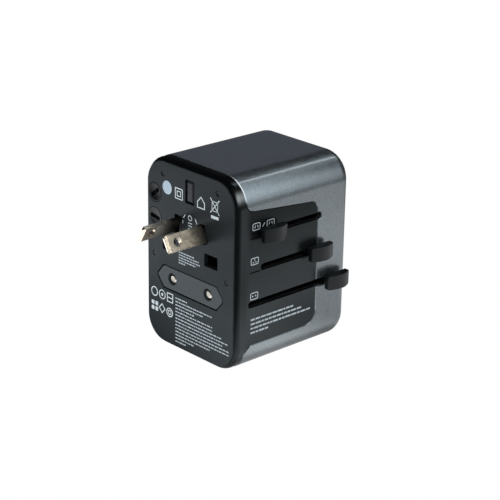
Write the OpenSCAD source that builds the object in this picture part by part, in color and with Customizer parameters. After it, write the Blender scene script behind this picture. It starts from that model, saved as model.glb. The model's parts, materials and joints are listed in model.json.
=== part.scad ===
// Universal travel adapter: a rounded box with three sets of mains pins that slide out of its plug face,
// a universal socket in the opposite face and charging ports in the underside.
// Millimetres. The plug face lies in the plane y = 0 and faces -Y, +Z is up, the sliders are on the +X side.
// The origin is the centre of the plug face. As drawn: flat blades out and slanted, round and square pins in.
// In node names "us" is the flat blades, "uk" the rectangular pins and "eu" the round pins.

/* [Body] */
// Width of the body across the plug face
body_w = 48.1; // [48:0.1:50]
// Height of the body
body_h = 70.6; // [70.4:0.1:74]
// Radius of the four long edges of the body
corner_r = 10.2; // [10:0.1:10.4]
// Radius of the rim round the socket end
socket_rim_r = 4.7; // [4.4:0.1:4.8]
// Radius of the rim round the plug end
plug_rim_r = 2.5; // [2:0.1:2.8]

/* [Sliders] */
// How far the slider knobs stand proud of the side
knob_proud = 4.9; // [4:0.1:5.5]
// Length of a slider knob along its slot
knob_l = 10.8; // [9:0.2:11]
// Height of a slider knob
knob_h = 5.6; // [5:0.1:6]

/* [Pins] */
// Length of the flat blades outside the plug face
blade_l = 16.5; // [15:0.1:17]
// Thickness of the flat blades
blade_t = 1.6; // [1.5:0.05:1.6]
// Slant of the flat blades as drawn, in degrees
blade_slant = 30; // [0:1:30]
// Radius of the round pins
round_pin_r = 2; // [1.9:0.05:2.05]

/* [Hidden] */
$fn = 48;
// shells
body_d = 54.8;
side_x = body_w / 2;
bottom_z = -body_h / 2;
sleeve_wall = 1.2;
sleeve_y = 4.55;               // front edge of the sleeve
flush_inset = 0.12;            // housing's exposed faces, inside the sleeve's outer surface
skin_inset = 1.25;             // housing skin under the sleeve, likewise
cavity_inset = 2.55;           // inner face of the housing wall, likewise
panel_x = side_x - flush_inset;  // outer face of the slider panel
wall_x = side_x - cavity_inset;
face_t = 1.85;                 // plug face plate
// sliders: height of each slot and y of each knob's stem
us_slot_z = 15.4;
uk_slot_z = 2.9;
eu_slot_z = -9.85;
us_stem_y = 14;
uk_stem_y = 36.8;
eu_stem_y = 45.4;
stem_x = 20.4;                 // where the carriage arms end and the stems start
stem_l = 4.6;
knob_gap = 1.5;                // between the side and a knob
knob_shift = 1.2;              // knob centre from its stem, towards the socket end
// flat blades
blade_x = 6.86;
blade_z = 12.8;
blade_h = 6.3;
blade_tail_y = 7.6;
max_slant = 30;
carriage_back_y = 8.1;
// rectangular pins, sizes in x and z
rect_x = 11.11;
rect_z = 3.92;
rect_pin = [6.35, 4];
rect_core = [5.15, 2.8];       // the part inside the insulating sleeve
rect_tip_y = 5.1;
rect_neck_y = 14;
rect_carriage_y = 25.3;
rect_tail_y = 29.5;
earth_z = 26.15;
earth_pin = [4, 8];
earth_tip_y = 0.1;
// round pins
round_x = 9.5;
round_z = -8.75;
round_neck_r = 1.5;
round_neck_y = [9.5, 21];
round_tail_y = 44;
// fuses
fuse_x = -18.8;
fuse_z = 21.5;
spare_z = 12.3;
// socket: heights of the rows of holes
socket_rect_z = 3.4;
socket_round_z = -3;
socket_blade_z = 12;
// contacts and busbars; x is the face of the bar nearest the middle
contact_y = 36.5;
live_bar_x = 14.66;
neutral_bar_x = 16;
bar_t = 0.6;
// charger
pcb_z = -20.6;                 // underside of the board
pcb_top = pcb_z + 1.6;
pcb_screw_x = [-19, 19];
pcb_screw_y = [6, 45.5];
light_x = 10;
light_z = -24;
usb_a_y = [17, 25.5, 34];
usb_c_y = [41.4, 46.2];
// screws in the plug face, x and z
face_screws = [[14.35, 29.45], [-14.35, 29.45], [19.2, -1.3], [-19.2, -1.3]];
// colours shared by several nodes
BRASS = [0.8, 0.68, 0.38];
BLADE_METAL = [0.72, 0.7, 0.66];
STEEL = [0.7, 0.71, 0.72];
FUSE_BODY = [0.85, 0.84, 0.8];
CAP_BLACK = [0.12, 0.12, 0.13];
CARRIAGE = [0.16, 0.16, 0.17];
KNOB = [0.14, 0.14, 0.15];
HUB = [0.25, 0.25, 0.26];
PIN_SLEEVE = [0.06, 0.06, 0.07];

// ---- helpers ----
function unit(v) = v / norm(v);
// n + 1 points on the fillet of radius r at the corner b between a and c
function arc(a, b, c, r, n) = let (
    to_a = unit(a - b),
    to_c = unit(c - b),
    half = acos(to_a * to_c) / 2,
    centre = b + unit(to_a + to_c) * (r / sin(half)),
    from = b + to_a * (r / tan(half)) - centre,
    to = b + to_c * (r / tan(half)) - centre,
    start = atan2(from[1], from[0]),
    turn = ((atan2(to[1], to[0]) - start + 540) % 360) - 180)
  [for (i = [0:n]) centre + r * [cos(start + turn * i / n), sin(start + turn * i / n)]];
// a polygon with each corner rounded to its own radius
function rounded(points, radii, n = 6) = let (count = len(points))
  [for (i = [0:count - 1])
    each (radii[i] > 0
      ? arc(points[(i + count - 1) % count], points[i], points[(i + 1) % count], radii[i], n)
      : [points[i]])];

// extrusions: ext_y takes an (x, z) outline, ext_x a (y, z) one and ext_z an (x, y) one
module ext_y(y0, y1) translate([0, y1, 0]) rotate([90, 0, 0]) linear_extrude(y1 - y0) children();
module ext_x(x0, x1) translate([x0, 0, 0]) rotate([90, 0, 90]) linear_extrude(x1 - x0) children();
module ext_z(z0, z1) translate([0, 0, z0]) linear_extrude(z1 - z0) children();
module box(low, high) translate(low) cube(high - low);
module at(x, z) translate([x, z]) children();
module cyl_y(x, z, r, y0, y1) translate([x, y1, z]) rotate([90, 0, 0]) cylinder(r = r, h = y1 - y0);
module both() {
  children();
  mirror([1, 0, 0]) children();
}
// a centred rectangle with rounded corners
module rrect(w, h, r) union() {
  square([w - 2 * r, h], center = true);
  square([w, h - 2 * r], center = true);
  for (x = [-1, 1], y = [-1, 1]) translate([x * (w / 2 - r), y * (h / 2 - r)]) circle(r);
}
// a rectangle from y0 to y1 with corner radius r0 at the y0 end and r1 at the y1 end
module slab(w, y0, y1, r0, r1) union() {
  translate([-w / 2, y0 + r0]) square([w, y1 - y0 - r0 - r1]);
  if (r0 > 0) {
    translate([-w / 2 + r0, y0]) square([w - 2 * r0, r0 + 0.01]);
    for (x = [-1, 1]) translate([x * (w / 2 - r0), y0 + r0]) circle(r0);
  }
  if (r1 > 0) {
    translate([-w / 2 + r1, y1 - r1 - 0.01]) square([w - 2 * r1, r1 + 0.01]);
    for (x = [-1, 1]) translate([x * (w / 2 - r1), y1 - r1]) circle(r1);
  }
}
// a block with rounded long edges (r) and a rounded rim at each end (r0, r1)
module rblock(w, h, r, y0, y1, r0, r1) union() {
  translate([0, 0, -(h / 2 - r)]) linear_extrude(h - 2 * r) slab(w, y0, y1, r0, r1);
  ext_x(-(w / 2 - r), w / 2 - r) mirror([1, -1, 0]) slab(h, y0, y1, r0, r1);
  for (x = [-1, 1], z = [-1, 1])
    translate([x * (w / 2 - r), 0, z * (h / 2 - r)]) rotate([-90, 0, 0])
      rotate_extrude() intersection() {
        slab(2 * r, y0, y1, r0, r1);
        translate([0, y0 - 1]) square([r + 1, y1 - y0 + 2]);
      }
}
// the body's block with its sides drawn in by inset
module body_block(inset, y0, y1, r0, r1)
  rblock(body_w - 2 * inset, body_h - 2 * inset, corner_r - inset, y0, y1, r0, r1);

// ---- outlines shared by several pieces ----
// the slider panel, y across and z up, drawn in by inset; it flares into the front at top and bottom
module panel2d(inset) union() {
  polygon(rounded([[4, 24.25 - inset], [38.1 - inset, 21.0 - inset],
    [38.6 - inset, -24.9 + inset], [4, -25.15 + inset]], [0, 3.2, 5, 0], 8));
  difference() {
    translate([4, 23.3 - inset]) square([4.6, 4.8]);
    translate([8.8 - inset, 28.1 - inset]) circle(4.25);
  }
  difference() {
    translate([4, -29.1 + inset]) square([4.4, 4.3]);
    translate([8.4 - inset, -29.1 + inset]) circle(3.95);
  }
}
module slot2d(y0, y1, z, h) union() {
  translate([y0 + h / 2, z - h / 2]) square([y1 - y0 - h, h]);
  for (y = [y0 + h / 2, y1 - h / 2]) translate([y, z]) circle(h / 2);
}
module port_outline(inset) translate([0, 29.8]) rrect(27 - 2 * inset, 39.4 - 2 * inset, 2.5 - inset);
// the opening a flat blade turns in between upright and slanted
module bow(r, t) intersection() {
  circle(r);
  union() {
    square([t, 2 * r + 2], center = true);
    rotate(max_slant) square([t, 2 * r + 2], center = true);
    for (turn = [0, 180]) rotate(turn)
      polygon([[0, 0], [0, r + 1], [-(r + 1) * sin(max_slant), (r + 1) * cos(max_slant)]]);
  }
}
module bow_pair(x, z, r, t) {
  at(x, z) bow(r, t);
  at(-x, z) mirror([1, 0]) bow(r, t);
}
module blade_openings() bow_pair(blade_x, blade_z, 3.6, 2.3);
// the outline of the round pins' nose, drawn outwards by grow
module hexagon(grow) {
  top_x = 14 + grow * 0.6;
  tip_x = 17.5 + grow;
  top_z = 4.15 + grow;
  polygon(rounded([[top_x, top_z], [tip_x, 0], [top_x, -top_z],
    [-top_x, -top_z], [-tip_x, 0], [-top_x, top_z]], [1.2, 1.2, 1.2, 1.2, 1.2, 1.2], 4));
}

// ---- shells ----
module sleeve() color([0.42, 0.46, 0.49]) difference() {
  body_block(0, sleeve_y, body_d, 0.3, socket_rim_r);
  body_block(sleeve_wall, 2, body_d - sleeve_wall, 0, socket_rim_r - sleeve_wall);
  ext_y(body_d - 3, body_d + 1) rrect(body_w - 10, body_h - 9.9, 5.5);
  ext_x(side_x - 5, side_x + 1) panel2d(0);
  ext_x(side_x - 3, side_x + 1) {
    slot2d(30, 40.3, us_slot_z, 2.6);
    slot2d(30, 40.3, uk_slot_z, 2.6);
    slot2d(30, 48.9, eu_slot_z, 2.6);
  }
  ext_z(bottom_z - 1, bottom_z + 2) port_outline(0);
}
// a post behind a plug face screw, with a rib to the top wall or the nearest side wall
module screw_post(x, z) difference() {
  union() {
    cyl_y(x, z, 2, face_t, 9.5);
    if (z > 0) box([x - 0.7, face_t, z], [x + 0.7, 9.5, body_h / 2 - cavity_inset + 0.2]);
    else box([x > 0 ? x : -wall_x - 0.2, face_t, z - 0.7], [x > 0 ? wall_x + 0.2 : x, 9.5, z + 0.7]);
  }
  cyl_y(x, z, 0.75, 1, 8.5);
}
module housing() color([0.09, 0.09, 0.1]) union() {
  difference() {
    union() {
      body_block(flush_inset, 0, sleeve_y - 0.05, plug_rim_r, 0);
      body_block(skin_inset, 4, 49.9, 0, 0);
      ext_x(side_x - 2.4, panel_x) intersection() {
        panel2d(0.07);
        translate([sleeve_y - 0.1, -40]) square([50, 80]);
      }
    }
    body_block(cavity_inset, face_t, 60, 0, 0);
    ext_y(-1, face_t + 0.01) rrect(body_w - 2.6, body_h - 2.6, corner_r - 1.3);
    ext_x(side_x - 4, side_x + 1) {
      slot2d(10.9, 40.2, us_slot_z, 2.5);
      slot2d(11.5, 40.2, uk_slot_z, 2.5);
      slot2d(5.9, 48.7, eu_slot_z, 2.5);
    }
    // shallow grooves in the panel, at the front ends of two slots
    ext_x(panel_x - 0.25, panel_x + 1) {
      slot2d(6.2, 12.5, uk_slot_z - 0.9, 0.5);
      slot2d(6.2, 12, us_slot_z - 1.1, 0.5);
    }
    ext_z(bottom_z - 1, bottom_z + 4) port_outline(0);
  }
  for (screw = face_screws) screw_post(screw[0], screw[1]);
}
module plug_face_plate() color([0.2, 0.21, 0.22]) difference() {
  rblock(body_w - 2.7, body_h - 2.7, corner_r - 1.35, 0, face_t, 0.3, 0);
  ext_y(-1, 3) {
    at(0, earth_z) rrect(4.7, 8.5, 0.4);
    for (side = [-1, 1]) at(side * rect_x, rect_z) rrect(6.8, 4.6, 0.4);
    blade_openings();
    at(0, round_z) hexagon(0.15);
    for (z = [fuse_z, spare_z]) at(fuse_x, z) circle(3.66);
    for (screw = face_screws) at(screw[0], screw[1]) circle(0.75);
  }
  for (screw = face_screws) cyl_y(screw[0], screw[1], 0.95, -1, 0.6);
}
// screws with a six-pointed recess in the head
module cover_screws() color([0.3, 0.3, 0.31]) for (screw = face_screws) difference() {
  union() {
    cyl_y(screw[0], screw[1], 0.9, 0.15, 0.6);
    cyl_y(screw[0], screw[1], 0.7, 0.5, 8);
  }
  for (turn = [0, 60, 120])
    translate([screw[0], 0, screw[1]]) rotate([0, turn, 0]) box([-0.5, 0, -0.13], [0.5, 0.4, 0.13]);
}
module socket_plate() color([0.1, 0.1, 0.11]) difference() {
  union() {
    ext_y(body_d - 1.4, body_d - 0.2) rrect(body_w - 10.2, body_h - 10.1, 5.4);
    ext_y(body_d - 3.2, body_d - sleeve_wall - 0.05) rrect(body_w - 8.5, body_h - 8.6, 5.9);
  }
  ext_y(body_d - 5, body_d + 1) {
    at(0, socket_rect_z + 22.22) rrect(4.8, 9, 0.5);
    for (side = [-1, 1]) {
      at(side * rect_x, socket_rect_z) rrect(7.2, 4.8, 0.5);
      at(side * round_x, socket_round_z) circle(2.6);
    }
    bow_pair(blade_x - 0.2, socket_blade_z, 3.9, 2.6);
    at(light_x, light_z) circle(1.06);
  }
  // shallow dish round the pin holes
  ext_y(body_d - 0.6, body_d + 1) at(0, 7.6) rrect(34, 42, 4);
}
module port_panel() color([0.07, 0.07, 0.08]) difference() {
  ext_z(bottom_z + 0.1, bottom_z + 1.9) port_outline(0.1);
  ext_z(bottom_z - 1, bottom_z + 3) {
    for (y = usb_a_y) translate([0, y]) rrect(13.3, 5.9, 0.5);
    for (y = usb_c_y) translate([0, y]) rrect(9.14, 3.4, 1.6);
  }
}
// a partition across the upper body, cut for the slider arms, the busbars and the earth pin
module mid_frame() color([0.13, 0.13, 0.14]) difference() {
  intersection() {
    body_block(cavity_inset + 0.05, 32.4, 34, 0, 0);
    box([-40, 30, -2.5], [40, 40, 40]);
  }
  ext_y(31, 36) {
    for (z = [uk_slot_z, us_slot_z]) translate([17.9, z - 1.6]) square([6, 3.2]);
    translate([neutral_bar_x - 0.3, 8.2]) square([1.2, 4.6]);
    translate([-15.45, 8.7]) square([1, 4.6]);
    at(0, 25.75) rrect(5.6, 9.6, 0.5);
  }
}

// ---- fuses ----
// two tubes joined by a web and trimmed to the housing wall
module fuse_holders() color([0.15, 0.15, 0.16]) ext_y(1.9, 27) difference() {
  intersection() {
    union() {
      for (z = [fuse_z, spare_z]) at(fuse_x, z) circle(3.4);
      translate([fuse_x - 0.7, spare_z]) square([1.4, fuse_z - spare_z]);
    }
    translate([-wall_x + 0.05, -50]) square([50, 100]);
  }
  for (z = [fuse_z, spare_z]) at(fuse_x, z) circle(2.66);
}
// columns: radius, distance from the front end
cartridge_profile = [[0, 0], [2.55, 0], [2.6, 0.2], [2.6, 5], [2.4, 5.1],
  [2.4, 14.9], [2.6, 15], [2.6, 19.8], [2.55, 20], [0, 20]];
module cartridge(z) translate([fuse_x, 4.6, z]) rotate([-90, 0, 0])
  rotate_extrude() polygon(cartridge_profile);
module fuse() color(FUSE_BODY) cartridge(fuse_z);
module spare_fuse() color(FUSE_BODY) cartridge(spare_z);
// a disc and a tab behind each fuse, and a strip joining the tabs
module fuse_end_contacts() color([0.78, 0.66, 0.35]) union() {
  for (z = [fuse_z, spare_z]) {
    cyl_y(fuse_x, z, 2.6, 24.7, 25.2);
    box([fuse_x - 1, 25.2, z - 1.5], [fuse_x + 1, 27.6, z - 0.9]);
  }
  box([fuse_x - 1, 27.05, spare_z - 1.5], [fuse_x + 1, 27.6, fuse_z - 0.9]);
}
// a cap with a screwdriver slot turned by the given angle
module cap(z, turn) difference() {
  union() {
    cyl_y(fuse_x, z, 3.6, 0, 1.7);
    cyl_y(fuse_x, z, 2.6, 1.6, 4.5);
  }
  translate([fuse_x, 0, z]) rotate([0, -turn, 0]) box([-2.45, -1, -0.5], [2.45, 0.7, 0.5]);
}
module fuse_cap() color(CAP_BLACK) cap(fuse_z, 39);
module spare_fuse_cap() color(CAP_BLACK) cap(spare_z, -9);

// ---- mains contacts and wiring ----
// a plate with a pair of leaves for each kind of pin and a tab reaching the busbar at bar_x
module contact(bar_x) {
  plate_back = contact_y + 0.5;
  leaf_y = [contact_y + 0.4, 49.4];
  box([5.4, contact_y, -5.4], [14.2, plate_back, 15.4]);
  // columns: inner x, outer x, height of the pin
  for (row = [[8.2, 14, socket_rect_z], [7.8, 11.2, socket_round_z]], dz = [-2.55, 2.05])
    box([row[0], leaf_y[0], row[2] + dz], [row[1], leaf_y[1], row[2] + dz + 0.5]);
  for (x = [blade_x - 1.6, blade_x + 1])
    box([x, leaf_y[0], socket_blade_z - 3], [x + 0.4, leaf_y[1], socket_blade_z + 3]);
  box([14, contact_y, 9], [bar_x, plate_back, 12.5]);
}
module live_contact() color(BRASS) mirror([1, 0, 0]) contact(live_bar_x);
module neutral_contact() color(BRASS) contact(neutral_bar_x);
module live_busbar() color(BRASS) union() {
  box([-live_bar_x - bar_t, 27.8, 9], [-live_bar_x, 49.2, 13]);
  box([fuse_x - 1, 27.8, 10.8], [-live_bar_x, 28.4, 13]);
}
module neutral_busbar() color(BRASS)
  box([neutral_bar_x, 5, 8.6], [neutral_bar_x + bar_t, 49.2, 12.4]);
// wires from just above the board up to the busbars
module mains_wires() color([0.55, 0.1, 0.08]) union() {
  translate([-live_bar_x - bar_t / 2, 48.2, pcb_top + 0.05]) cylinder(r = 0.9, h = 27.9);
  translate([neutral_bar_x + bar_t / 2, 48.2, pcb_top + 0.05]) cylinder(r = 0.9, h = 27.5);
}

// ---- charger ----
module charger_pcb() color([0.06, 0.27, 0.16]) difference() {
  ext_z(pcb_z, pcb_top) translate([0, 26.2]) rrect(41.6, 46, 1.5);
  for (x = pcb_screw_x, y = pcb_screw_y) translate([x, y, pcb_z - 1]) cylinder(r = 1.1, h = 4);
}
module transformer() color([0.75, 0.62, 0.2]) translate([14.2, 17, 0]) union() {
  box([-5.5, -8, pcb_z - 2], [5.5, 8, pcb_z]);
  box([-3.6, -5, pcb_z - 9.6], [3.6, 5, pcb_z - 1.9]);
  for (x = [-5.5, 3.5]) box([x, -5.6, pcb_z - 8.6], [x + 2, 5.6, pcb_z - 1.9]);
}
module capacitors() color([0.12, 0.14, 0.3]) union() {
  for (y = [9.5, 18.6, 27.7]) translate([-13.6, y, pcb_z - 10.2]) cylinder(r = 4, h = 10.2);
  for (x = [-9.8, -15], y = [37.6, 43]) translate([x, y, pcb_z - 7]) cylinder(r = 2.4, h = 7);
}
// a ring on two legs
module inductor() color([0.72, 0.4, 0.16]) translate([14, 33.5, pcb_z - 5]) union() {
  rotate_extrude() polygon([[1.6, -3.6], [4.8, -3.6], [4.8, 3.6], [1.6, 3.6]]);
  for (x = [-3.4, 3.4]) box([x - 0.5, -0.5, 3.5], [x + 0.5, 0.5, 5]);
}
// two chips under the board and three on top
module chips() color([0.05, 0.05, 0.06]) union() {
  for (p = [[12.4, 43], [17.2, 40.7]])
    box([p[0] - 1.9, p[1] - 2.4, pcb_z - 1.4], [p[0] + 1.9, p[1] + 2.4, pcb_z]);
  for (y = [12, 22, 32]) box([-3, y - 2.5, pcb_top], [3, y + 2.5, pcb_top + 1.4]);
}
// shells open at the bottom; outer and inner are [width, depth, corner radius]
module usb_shells(places, outer, inner) for (y = places) difference() {
  ext_z(bottom_z + 0.35, pcb_z) translate([0, y]) rrect(outer[0], outer[1], outer[2]);
  ext_z(bottom_z - 1, pcb_z - 0.5) translate([0, y]) rrect(inner[0], inner[1], inner[2]);
}
// a tongue, x to either side and from y0 to y1, on a base given by its half sizes
module usb_tongues(places, x, y0, y1, base) for (y = places) union() {
  box([-x, y + y0, bottom_z + 1], [x, y + y1, pcb_z - 2.4]);
  box([-base[0], y - base[1], pcb_z - 2.5], [base[0], y + base[1], pcb_z - 0.55]);
}
module usb_a_shells() color(STEEL) usb_shells(usb_a_y, [13.1, 5.7, 0.4], [12.4, 5, 0.2]);
module usb_a_tongues() color([0.9, 0.91, 0.92]) usb_tongues(usb_a_y, 5.5, -2.1, -0.3, [6.15, 2.45]);
module usb_c_shells() color(STEEL) usb_shells(usb_c_y, [8.94, 3.2, 1.55], [8.34, 2.6, 1.25]);
module usb_c_tongues() color([0.05, 0.05, 0.06]) usb_tongues(usb_c_y, 3.3, -0.35, 0.35, [2.9, 1.2]);
module pcb_screws() color([0.75, 0.75, 0.76]) for (x = pcb_screw_x, y = pcb_screw_y) union() {
  translate([x, y, pcb_z - 1.2]) cylinder(r = 1.7, h = 1.15);
  translate([x, y, pcb_z - 0.1]) cylinder(r = 0.95, h = 5);
}
module status_led() color([0.95, 0.95, 0.8])
  box([light_x - 1, 48.2, pcb_z - 4.4], [light_x + 1, 49.2, pcb_z]);
module light_pipe() color([0.9, 0.93, 0.95, 0.6]) union() {
  cyl_y(light_x, light_z, 1, 49.3, body_d - 0.15);
  cyl_y(light_x, light_z, 1.5, 49.25, 50.4);
}

// ---- slider parts ----
// an arm from a carriage out to the side and back to its knob's stem
module slider_arm(x0, y0, y1, stem_y, z) {
  box([x0, y0, z - 1], [stem_x, y1, z + 1]);
  box([stem_x - 2, y0, z - 1], [stem_x, stem_y + stem_l / 2, z + 1]);
}
// the knob: a finger plate, crowned along the slot, on a neck and a stem through the slot
module knob(y, z) union() {
  plate_y = y + knob_shift;
  crown_x = knob_proud - 0.05;
  intersection() {
    translate([side_x, plate_y, z - knob_h / 2]) linear_extrude(knob_h)
      polygon(rounded([[knob_gap, -knob_l / 2], [knob_proud - 1.6, -knob_l / 2], [crown_x, -0.6],
        [crown_x, 1.2], [knob_proud - 1.7, knob_l / 2], [knob_gap, knob_l / 2]],
        [0.4, 0.5, 5, 5, 1.3, 0.4], 6));
    ext_x(side_x, side_x + 8) translate([plate_y, z]) rrect(knob_l, knob_h, 1.4);
  }
  ext_x(side_x + 0.15, side_x + knob_gap + 0.1) translate([y + 0.3, z]) rrect(6.4, 3.6, 0.8);
  box([stem_x, y - stem_l / 2, z - 1], [side_x + 0.25, y + stem_l / 2, z + 1]);
}
module us_knob() color(KNOB) knob(us_stem_y, us_slot_z);
module uk_knob() color(KNOB) knob(uk_stem_y, uk_slot_z);
module eu_knob() color(KNOB) knob(eu_stem_y, eu_slot_z);

// ---- flat blades ----
module us_carriage() color(CARRIAGE) difference() {
  union() {
    ext_y(2.5, carriage_back_y) at(0, blade_z) rrect(24.4, 11, 1);
    slider_arm(11, 4.6, carriage_back_y, us_stem_y, us_slot_z);
  }
  for (side = [-1, 1]) cyl_y(side * blade_x, blade_z, 4.56, 3.6, 9);
  ext_y(2, 4) blade_openings();
}
module blade_retainer() color([0.2, 0.2, 0.21]) ext_y(carriage_back_y, carriage_back_y + 1) difference() {
  at(0, blade_z) rrect(24.2, 10.8, 1);
  for (side = [-1, 1]) at(side * blade_x, blade_z) circle(1.6);
}
module blade() difference() {
  ext_y(-blade_l, blade_tail_y) square([blade_t, blade_h], center = true);
  // nose chamfers and the hole near the tip
  for (side = [-1, 1]) {
    translate([0, -blade_l, side * blade_h / 2]) rotate([45, 0, 0]) cube([3, 1.35, 1.35], center = true);
    translate([side * blade_t / 2, -blade_l, 0]) rotate([0, 0, 45]) cube([0.8, 0.8, 8], center = true);
  }
  translate([-2, -blade_l + 4.7, 0]) rotate([0, 90, 0]) cylinder(r = 1.55, h = 4);
}
// the disc that a blade turns with
module hub() difference() {
  cyl_y(0, 0, 4.5, 3.65, 8.05);
  box([-blade_t / 2, 3, -blade_h / 2], [blade_t / 2, blade_tail_y, blade_h / 2]);
}
// side is 1 for the right (+X) and -1 for the left; the tops lean towards the middle
module slanted(side)
  translate([side * blade_x, 0, blade_z]) rotate([0, -side * blade_slant, 0]) children();
module right_blade() color(BLADE_METAL) slanted(1) blade();
module left_blade() color(BLADE_METAL) slanted(-1) blade();
module right_blade_hub() color(HUB) slanted(1) hub();
module left_blade_hub() color(HUB) slanted(-1) hub();

// ---- rectangular pins ----
// cutters that bevel the four edges of a pin's tip; size is the pin's in x and z
module tip_bevels(x, y, z, size, cutter_h) for (side = [-1, 1]) {
  translate([x, y, z + side * size[1] / 2]) rotate([45, 0, 0]) cube([8, 1, 1], center = true);
  translate([x + side * size[0] / 2, y, z]) rotate([0, 0, 45]) cube([1, 1, cutter_h], center = true);
}
module uk_carriage() color(CARRIAGE) difference() {
  union() {
    // a crossbar behind both pins, with a bracket on the -X side up to the earth pin
    ext_y(rect_carriage_y, 31.8) {
      at(0, 3.65) square([30.4, 6.7], center = true);
      translate([-14.3, 0.3]) square([1.8, 26.7]);
      translate([-14.3, 21]) square([14, 6]);
      translate([-3.5, 21]) square([7, 10.4]);
    }
    slider_arm(15, 28, 31.8, uk_stem_y, uk_slot_z);
  }
  for (side = [-1, 1]) ext_y(25, rect_tail_y) at(side * rect_x, rect_z) square(rect_core, center = true);
  ext_y(25, rect_tail_y) at(0, earth_z) square(earth_pin, center = true);
}
module uk_pins() color([0.75, 0.73, 0.68]) difference() {
  for (side = [-1, 1]) {
    ext_y(rect_tip_y, rect_neck_y) at(side * rect_x, rect_z) rrect(rect_pin[0], rect_pin[1], 0.4);
    ext_y(rect_neck_y - 0.1, rect_tail_y) at(side * rect_x, rect_z) square(rect_core, center = true);
  }
  for (side = [-1, 1]) tip_bevels(side * rect_x, rect_tip_y, rect_z, rect_pin, 8);
}
module uk_pin_sleeves() color(PIN_SLEEVE) ext_y(rect_neck_y, rect_carriage_y)
  for (side = [-1, 1]) at(side * rect_x, rect_z) difference() {
    rrect(rect_pin[0], rect_pin[1], 0.4);
    square(rect_core, center = true);
  }
module uk_earth_pin() color([0.1, 0.1, 0.11]) difference() {
  ext_y(earth_tip_y, rect_tail_y) at(0, earth_z) square(earth_pin, center = true);
  tip_bevels(0, earth_tip_y, earth_z, earth_pin, 12);
}

// ---- round pins ----
// half the pin's section, from a rounded tip through the neck to the tail: radius, y
round_pin_profile = concat(
  [[0, 0.5]],
  [for (i = [0:6]) [(round_pin_r - 1.2) + 1.2 * sin(i * 15), 1.7 - 1.2 * cos(i * 15)]],
  [[round_pin_r, round_neck_y[0]], [round_neck_r, round_neck_y[0]],
   [round_neck_r, round_neck_y[1]], [round_pin_r, round_neck_y[1]],
   [round_pin_r, round_tail_y], [0, round_tail_y]]);
module eu_carriage() color(CARRIAGE) difference() {
  union() {
    ext_y(40.7, 45.7) at(0, round_z) rrect(26, 6, 0.8);
    slider_arm(12, 41.5, 45.7, eu_stem_y, eu_slot_z);
  }
  for (side = [-1, 1]) cyl_y(side * round_x, round_z, round_pin_r, 40, round_tail_y);
}
module eu_pins() color([0.8, 0.78, 0.72]) both() translate([round_x, 0, round_z]) rotate([-90, 0, 0])
  rotate_extrude() polygon(round_pin_profile);
module eu_pin_sleeves() color(PIN_SLEEVE) both() difference() {
  cyl_y(round_x, round_z, round_pin_r - 0.1, round_neck_y[0], round_neck_y[1]);
  cyl_y(round_x, round_z, round_neck_r, 9, 22);
}
module eu_nose() color([0.22, 0.23, 0.24]) difference() {
  union() {
    ext_y(0.05, 19.5) at(0, round_z) hexagon(0);
    ext_y(19.3, 21) at(0, round_z) hexagon(0.9);
  }
  for (side = [-1, 1]) cyl_y(side * round_x, round_z, 2.2, -1, 22);
}

// ---- socket shutter ----
module safety_shutter() color([0.85, 0.83, 0.78]) box([-15.2, 50.2, -5.8], [15.2, 51.4, 6]);
// a flat zigzag below the shutter
module shutter_spring() color(STEEL) ext_y(50.35, 51.25)
  for (i = [0:5], left_z = [-31, -26.8]) translate([0, i * 4.1])
    polygon([[-3, left_z], [3, -28.9], [3, -28.5], [-3, left_z + 0.4]]);

sleeve();
housing();
plug_face_plate();
cover_screws();
socket_plate();
port_panel();
mid_frame();
fuse_holders();
fuse();
spare_fuse();
fuse_end_contacts();
fuse_cap();
spare_fuse_cap();
live_contact();
neutral_contact();
live_busbar();
neutral_busbar();
mains_wires();
charger_pcb();
transformer();
capacitors();
inductor();
chips();
usb_a_shells();
usb_a_tongues();
usb_c_shells();
usb_c_tongues();
pcb_screws();
status_led();
light_pipe();
us_carriage();
blade_retainer();
us_knob();
left_blade();
right_blade();
left_blade_hub();
right_blade_hub();
uk_carriage();
uk_pins();
uk_pin_sleeves();
uk_earth_pin();
uk_knob();
eu_carriage();
eu_pins();
eu_pin_sleeves();
eu_knob();
eu_nose();
safety_shutter();
shutter_spring();
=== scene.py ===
"""A travel plug adapter: a rounded box with three sliding pin sets and USB ports.

The plug face lies at y = 0 and looks along -Y, the socket face at y = DEPTH looks along +Y.
The slider slots are on the +X side and the USB ports underneath (-Z). The box is centred on
x = 0 and z = 0. Shapes are given in millimetres; lights, camera and floor glow in metres.
"""
import bpy
import bmesh
import json
import math
import random
from bisect import bisect_right
from itertools import accumulate

import numpy as np
from mathutils import Vector, Matrix

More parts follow.
